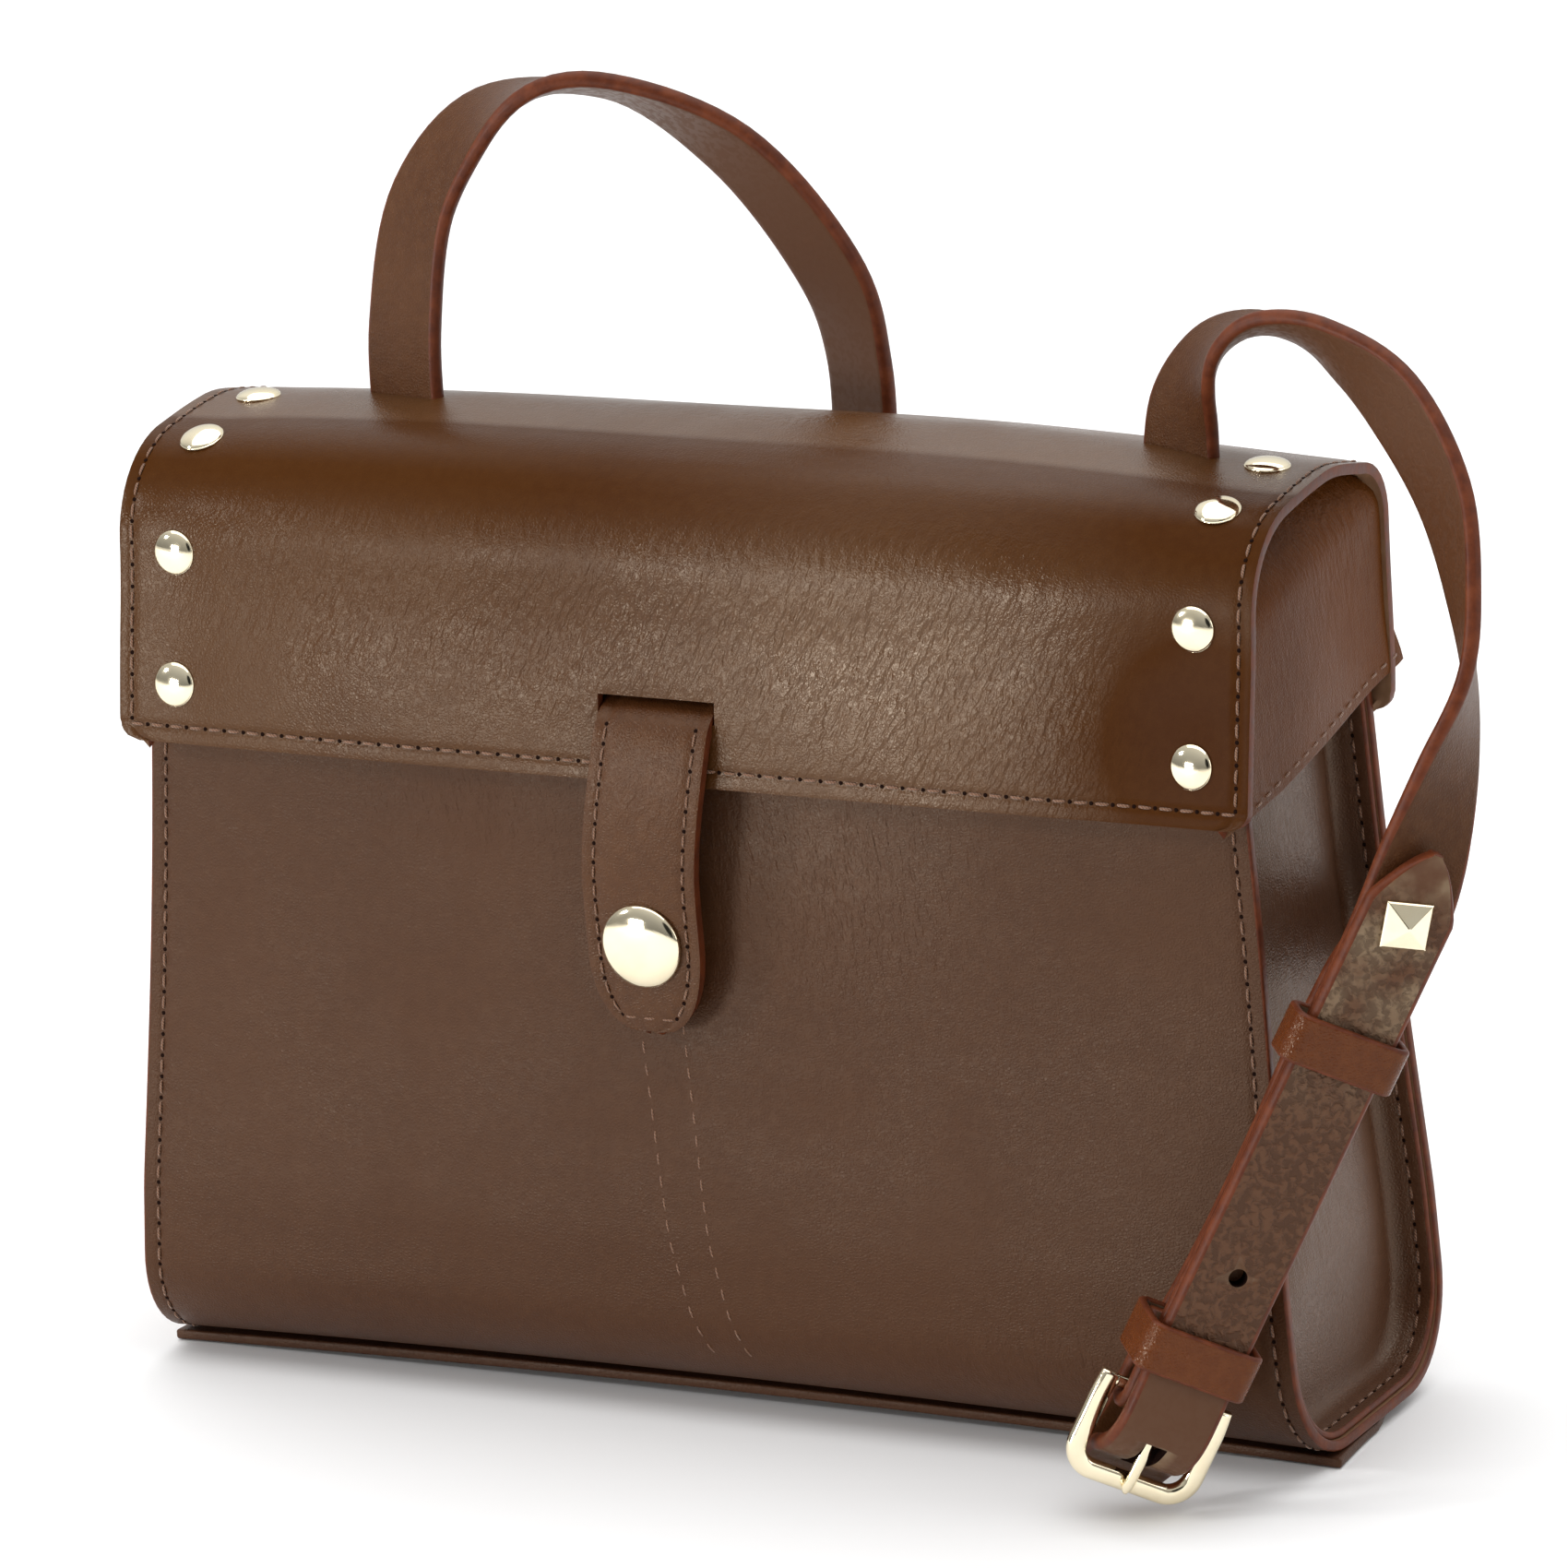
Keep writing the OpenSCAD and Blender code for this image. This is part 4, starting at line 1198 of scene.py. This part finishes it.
def make_long_strap():
    stations = LEFT_ARC + BEHIND + [run_station(*spot) for spot in RETURN]
    middle, along, side, up = ribbon_frames(stations, 9)
    gaps = np.linalg.norm(np.diff(middle, axis=0), axis=1)
    to_tip = np.concatenate([np.cumsum(gaps[::-1])[::-1], [0]])
    # close stations at the tip keep its point smooth
    tip_steps = np.array([11, 9, 7.5, 6, 4.6, 3.4, 2.3, 1.4, 0.7, 0.25, 0.0])
    keep = to_tip > STRAP_TIP + 0.5
    tip_middle = np.array([middle[-1] - along[-1] * d for d in tip_steps])
    middle = np.concatenate([middle[keep], tip_middle])
    side = np.concatenate([side[keep], repeated(side[-1], len(tip_steps))])
    up = np.concatenate([up[keep], repeated(up[-1], len(tip_steps))])
    reach = np.concatenate([to_tip[keep], tip_steps])
    widths = np.maximum(np.clip(reach / STRAP_TIP, 0, 1) ** 0.62, 0.12)
    pebbles = np.clip((reach - 5) / 10, 0, 1) * np.clip((116 - reach) / 10, 0, 1)
    # painted shade rises from the tip, so the strap near its tip and the stud keeps a painted sheen
    piece = sweep("strap_long_piece", middle, side, up, strap_section(STRAP_WIDTH, STRAP_LEATHER),
                  [STRAP, EDGE, FLESH], widths, crease=pebbles, painted_shade=np.clip((reach - 25) / 35, 0, 1))
    cut(piece, *run_block(across=2.3, t0=0.8, t1=13.4, n0=-1.5, n1=8.0))
    cut(piece, *turned([(PIN_HOLE, -5), (PIN_HOLE, 5)], on_run(PIN_HOLE_T, LONG_N), run_out, 24))
    hand_in(piece, ["strap_left_arc", "strap_long"])
    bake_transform(piece)


def make_short_strap():
    stations = RIGHT_ARC + [run_station(*spot) for spot in BUCKLE_FOLD]
    middle, _, side, up = ribbon_frames(stations, 8)
    angles = np.radians(np.linspace(75, -90, 12))
    fold = np.array([on_run(BAR_T - SHORT_N * math.cos(a), SHORT_N * math.sin(a)) for a in angles])
    fold_up = np.array([-math.cos(a) * run_along + math.sin(a) * run_out for a in angles])
    tail = np.array([on_run(t, -SHORT_N) for t in (22, 26, 30, 34)])
    middle = np.concatenate([middle, fold, tail])
    side = np.concatenate([side, repeated(-run_across, len(fold) + len(tail))])
    up = np.concatenate([up, fold_up, repeated(-run_out, len(tail))])
    # painted shade along the whole strap
    piece = sweep("strap_short_piece", middle, side, up, strap_section(STRAP_WIDTH, STRAP_LEATHER - 0.2),
                  [STRAP, EDGE, FLESH], crease=np.full(len(middle), 0.15), painted_shade=np.ones(len(middle)))
    cut(piece, *run_block(across=1.8, t0=BAR_T - 8, t1=BAR_T + 6, n0=-8, n1=8))
    hand_in(piece, ["strap_right_arc", "strap_short"])
    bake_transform(piece)


KEEPER_WIDE = 10.0
KEEPER_WALL = 1.7
KEEPER_PLAY = 0.15


def keeper_ring(t, low, high, slack):
    """Middle line of a keeper that goes round the strap, and its directions."""
    half = STRAP_WIDTH / 2 + slack + KEEPER_WALL / 2
    low -= KEEPER_PLAY + KEEPER_WALL / 2
    high += KEEPER_PLAY + KEEPER_WALL / 2
    bend = 2.3
    corners = [(half - bend, high - bend, 90, 0), (half - bend, low + bend, 0, -90),
               (bend - half, low + bend, -90, -180), (bend - half, high - bend, 180, 90)]
    loop = []
    for x, n, start, end in corners:
        loop += arc_points((x, n), bend, start, end, 6)
    loop = np.array(loop)
    ways = unit(np.roll(loop, -1, 0) - np.roll(loop, 1, 0))
    middle = np.array([on_run(t, n, a) for a, n in loop])
    up = np.array([-w[1] * run_across + w[0] * run_out for w in ways])
    side = repeated(run_along, len(loop))
    return middle, side, up


def make_keeper(name, node, body, t, low, high, slack):
    middle, side, up = keeper_ring(t, low, high, slack)
    piece = sweep(name, middle, side, up, strap_section(KEEPER_WIDE, KEEPER_WALL), [KEEPER, EDGE, FLESH],
                  closed=True)
    hand_in(piece, [node], body)


def make_stud():
    """Four-sided point with a small flat rim."""
    half, turn = 4.7, math.radians(15)
    foot = LONG_N + STRAP_LEATHER / 2 + 0.05
    levels = [(1.0, 0.0), (1.0, 0.6), (0.93, 0.95), (0.06, 3.2)]
    points, faces = [], []
    for share, height in levels:
        for sx, st in ((-1, -1), (1, -1), (1, 1), (-1, 1)):
            x = half * share * (sx * math.cos(turn) - st * math.sin(turn))
            t = half * share * (sx * math.sin(turn) + st * math.cos(turn))
            points.append(on_run(STUD_T + t, foot + height, x))
    for r in range(len(levels) - 1):
        for k in range(4):
            n = (k + 1) % 4
            faces.append([4 * r + k, 4 * r + n, 4 * r + 4 + n, 4 * r + 4 + k])
    faces.append([3, 2, 1, 0])
    faces.append([12, 13, 14, 15])
    piece = new_object("stud_point", points, faces, [GOLD])
    piece.data.polygons.foreach_set("use_smooth", [False] * len(piece.data.polygons))
    round_edges(piece, 0.12, 2)
    apply_modifiers(piece)
    hand_in(piece, ["pyramid_stud"], "bag")


# ---------------------------------------------------------------- buckle

FRAME_HALF = 12.6
FRAME_CORNER = 5.0


def oval(wide, high, sides=16, square=2.6):
    """Cross-section of a cast bar: an oval with fuller shoulders."""
    outline = []
    for a in turn_angles(sides):
        c, s = math.cos(a), math.sin(a)
        outline.append((wide * math.copysign(abs(c) ** (2 / square), c),
                        high * math.copysign(abs(s) ** (2 / square), s), 0))
    return outline


def make_buckle():
    rails = [(-FRAME_HALF + 0.4, BAR_T + 1.2), (-FRAME_HALF, BAR_T - 3), (-FRAME_HALF, 11),
             (-FRAME_HALF, FRAME_CORNER + 2)]
    rails += arc_points((FRAME_CORNER - FRAME_HALF, FRAME_CORNER), FRAME_CORNER, 180, 270, 6)
    flat = rails + [(-3, 0), (3, 0)] + [(-x, t) for x, t in rails[::-1]]
    line = smooth_line(flat, 5)
    middle = np.array([on_run(t, 0.0, x) for x, t in line])
    along = unit(np.gradient(middle, axis=0))
    up = repeated(run_out, len(middle))
    side = np.cross(along, up)
    piece = sweep("buckle_cast", middle, side, up, oval(2.05, 1.55), [GOLD])
    bar_middle = np.array([on_run(BAR_T, 0.0, x) for x in np.linspace(-FRAME_HALF, FRAME_HALF, 12)])
    bar = sweep("buckle_bar", bar_middle, repeated(run_along, 12), repeated(run_out, 12),
                oval(1.3, 1.3, 16, 2.0), [GOLD])
    for made in (piece, bar):
        hand_in(made, ["buckle_frame"], "bag")


def make_prong():
    """Pin bent round the bar, with a tapered tip that lies on the outer bar."""
    ring = [(BAR_T - 2.0 * math.cos(math.radians(a)), 2.0 * math.sin(math.radians(a)))
            for a in range(-200, 41, 24)]
    path = ring + [(14.6, 2.9), (10.5, 3.4), (5.5, 3.2), (1.2, 2.9), (-1.6, 2.2)]
    line = smooth_line(path, 4)
    middle = np.array([on_run(t, n) for t, n in line])
    along = unit(np.gradient(middle, axis=0))
    side = repeated(run_across, len(middle))
    up = np.cross(side, along)
    girth = np.interp(np.arange(len(middle)), [0, len(middle) * 0.75, len(middle) - 3, len(middle) - 1],
                      [1.15, 1.05, 0.9, 0.45])
    piece = sweep("buckle_pin", middle, side, up, oval(1.2, 0.75, 14, 2.2), [GOLD], widths=girth)
    hand_in(piece, ["buckle_prong"], "prong")


# ---------------------------------------------------------------- CAD nodes that stay

def paint_hidden_parts():
    """Parts inside the bag keep their CAD shape and get their own materials."""
    looks = {"lining": CLOTH, "inner_pocket": CLOTH, "base_board": BOARD, "tab_strip": INSIDE,
             "strap_patches": INSIDE, "magnet_base": GOLD, "snap_socket": GOLD,
             "magnet_washer": STEEL, "lid_rivet_washers": STEEL}
    for node, material in looks.items():
        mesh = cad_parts[node].data
        mesh.materials.clear()
        mesh.materials.append(material)


# ---------------------------------------------------------------- stage, light and camera

def make_stage():
    shader = Shader("pale_floor")
    grain = shader.noise(9, 3)
    shader.set(Base_Color=shader.mix(grain, srgb(246, 246, 246), srgb(250, 250, 250)), Roughness=0.8)
    size = 9000
    floor = new_object("floor", [(-size, -size, 0), (size, -size, 0), (size, size, 0), (-size, size, 0)],
                       [[0, 1, 2, 3]], [shader.material])


def area_light(name, place, target, size, power, tint=(1, 1, 1)):
    data = bpy.data.lights.new(name, "AREA")
    data.shape = "RECTANGLE"
    data.size, data.size_y = size
    data.energy = power
    data.color = tint
    light = bpy.data.objects.new(name, data)
    bpy.context.scene.collection.objects.link(light)
    light.location = place
    light.rotation_mode = "QUATERNION"
    light.rotation_quaternion = (Vector(target) - Vector(place)).to_track_quat("-Z", "Y")


WORLD_LOW = 0.22
WORLD_HIGH = 0.7
WORLD_BEHIND = 0.4
# direction of the dark patch, beside and above the camera
DARK_TURN = 8.0
DARK_RISE = 16.26
# cosine of the angle from that direction where the patch starts and where it is darkest
DARK_EDGE = 0.955
DARK_CORE = 0.975
DARK_LEVEL = 0.06


def make_world():
    """Dim surround, brighter overhead and behind, with one dark patch for the metal to reflect."""
    world = bpy.data.worlds.new("studio")
    bpy.context.scene.world = world
    world.use_nodes = True
    nodes = Nodes(world.node_tree)
    way = nodes.node("TexCoord").outputs["Generated"]
    split = nodes.node("SeparateXYZ", Vector=way)
    height = nodes.ramp(split.outputs["Z"], 0.0, 0.9, WORLD_LOW, WORLD_HIGH, "LINEAR")
    behind = nodes.ramp(split.outputs["Y"], -0.3, 0.6, 0.0, WORLD_BEHIND)
    turn, rise = math.radians(CAMERA_TURN + DARK_TURN), math.radians(DARK_RISE)
    dark_way = (math.sin(turn) * math.cos(rise), -math.cos(turn) * math.cos(rise), math.sin(rise))
    toward = nodes.node("VectorMath", {"operation": "DOT_PRODUCT"})
    nodes.put(toward, "0", way)
    nodes.put(toward, "1", dark_way)
    patch = nodes.ramp(toward.outputs["Value"], DARK_EDGE, DARK_CORE, 1.0, DARK_LEVEL, "LINEAR")
    strength = nodes.times(nodes.plus(height, behind), patch)
    background = world.node_tree.nodes["Background"]
    nodes.put(background, "Strength", strength)
    nodes.put(background, "Color", (1, 1, 1, 1))


def make_light():
    middle = (0, 0, 0.12)
    area_light("top", (0, 0.3, 2.4), (0, 0.3, 0), (3.4, 3.4), 57)
    area_light("key", (-1.9, -1.45, 1.2), middle, (0.35, 0.35), 17)
    area_light("sheen", (-0.86, -1.85, 0.24), middle, (0.5, 0.36), 14)
    area_light("right_fill", (2.0, 0.0, 0.7), middle, (0.8, 0.9), 4)
    bpy.context.scene.view_settings.view_transform = "Standard"


CAMERA_TURN = 26.96
CAMERA_RISE = 15.99
CAMERA_ROLL = -3.17
CAMERA_TARGET = (0.665, 9.52, 121.99)
CAMERA_DISTANCE = 2217.7
CAMERA_LENS = 251.6


def make_camera():
    turn, rise, roll = (math.radians(a) for a in (CAMERA_TURN, CAMERA_RISE, CAMERA_ROLL))
    right = Vector((math.cos(turn), math.sin(turn), 0))
    back = Vector((math.sin(turn) * math.cos(rise), -math.cos(turn) * math.cos(rise), math.sin(rise)))
    up = back.cross(right)
    rolled_right = right * math.cos(roll) + up * math.sin(roll)
    rolled_up = up * math.cos(roll) - right * math.sin(roll)
    data = bpy.data.cameras.new("camera")
    data.sensor_width = 36
    data.lens = CAMERA_LENS
    camera = bpy.data.objects.new("camera", data)
    bpy.context.scene.collection.objects.link(camera)
    pose = Matrix((rolled_right, rolled_up, back)).transposed().to_4x4()
    pose.translation = Vector(CAMERA_TARGET) * MM + back * CAMERA_DISTANCE * MM
    camera.matrix_world = pose
    bpy.context.scene.camera = camera


make_body()
make_base()
make_gussets()
make_lid()
make_ears()
make_rivets()
make_tab()
make_snap_cap()
make_long_strap()
make_short_strap()
make_keeper("keeper_loose", "sliding_keeper", "keeper", LOOSE_KEEPER_T, SHORT_N - 1.6, LONG_N + 1.7, 1.2)
make_keeper("keeper_sewn", "fixed_keeper", "bag", SEWN_KEEPER_T, -SHORT_N - 1.6, LONG_N + 1.9, 1.0)
make_stud()
make_buckle()
make_prong()
paint_hidden_parts()
make_stage()
make_world()
make_light()
make_camera()
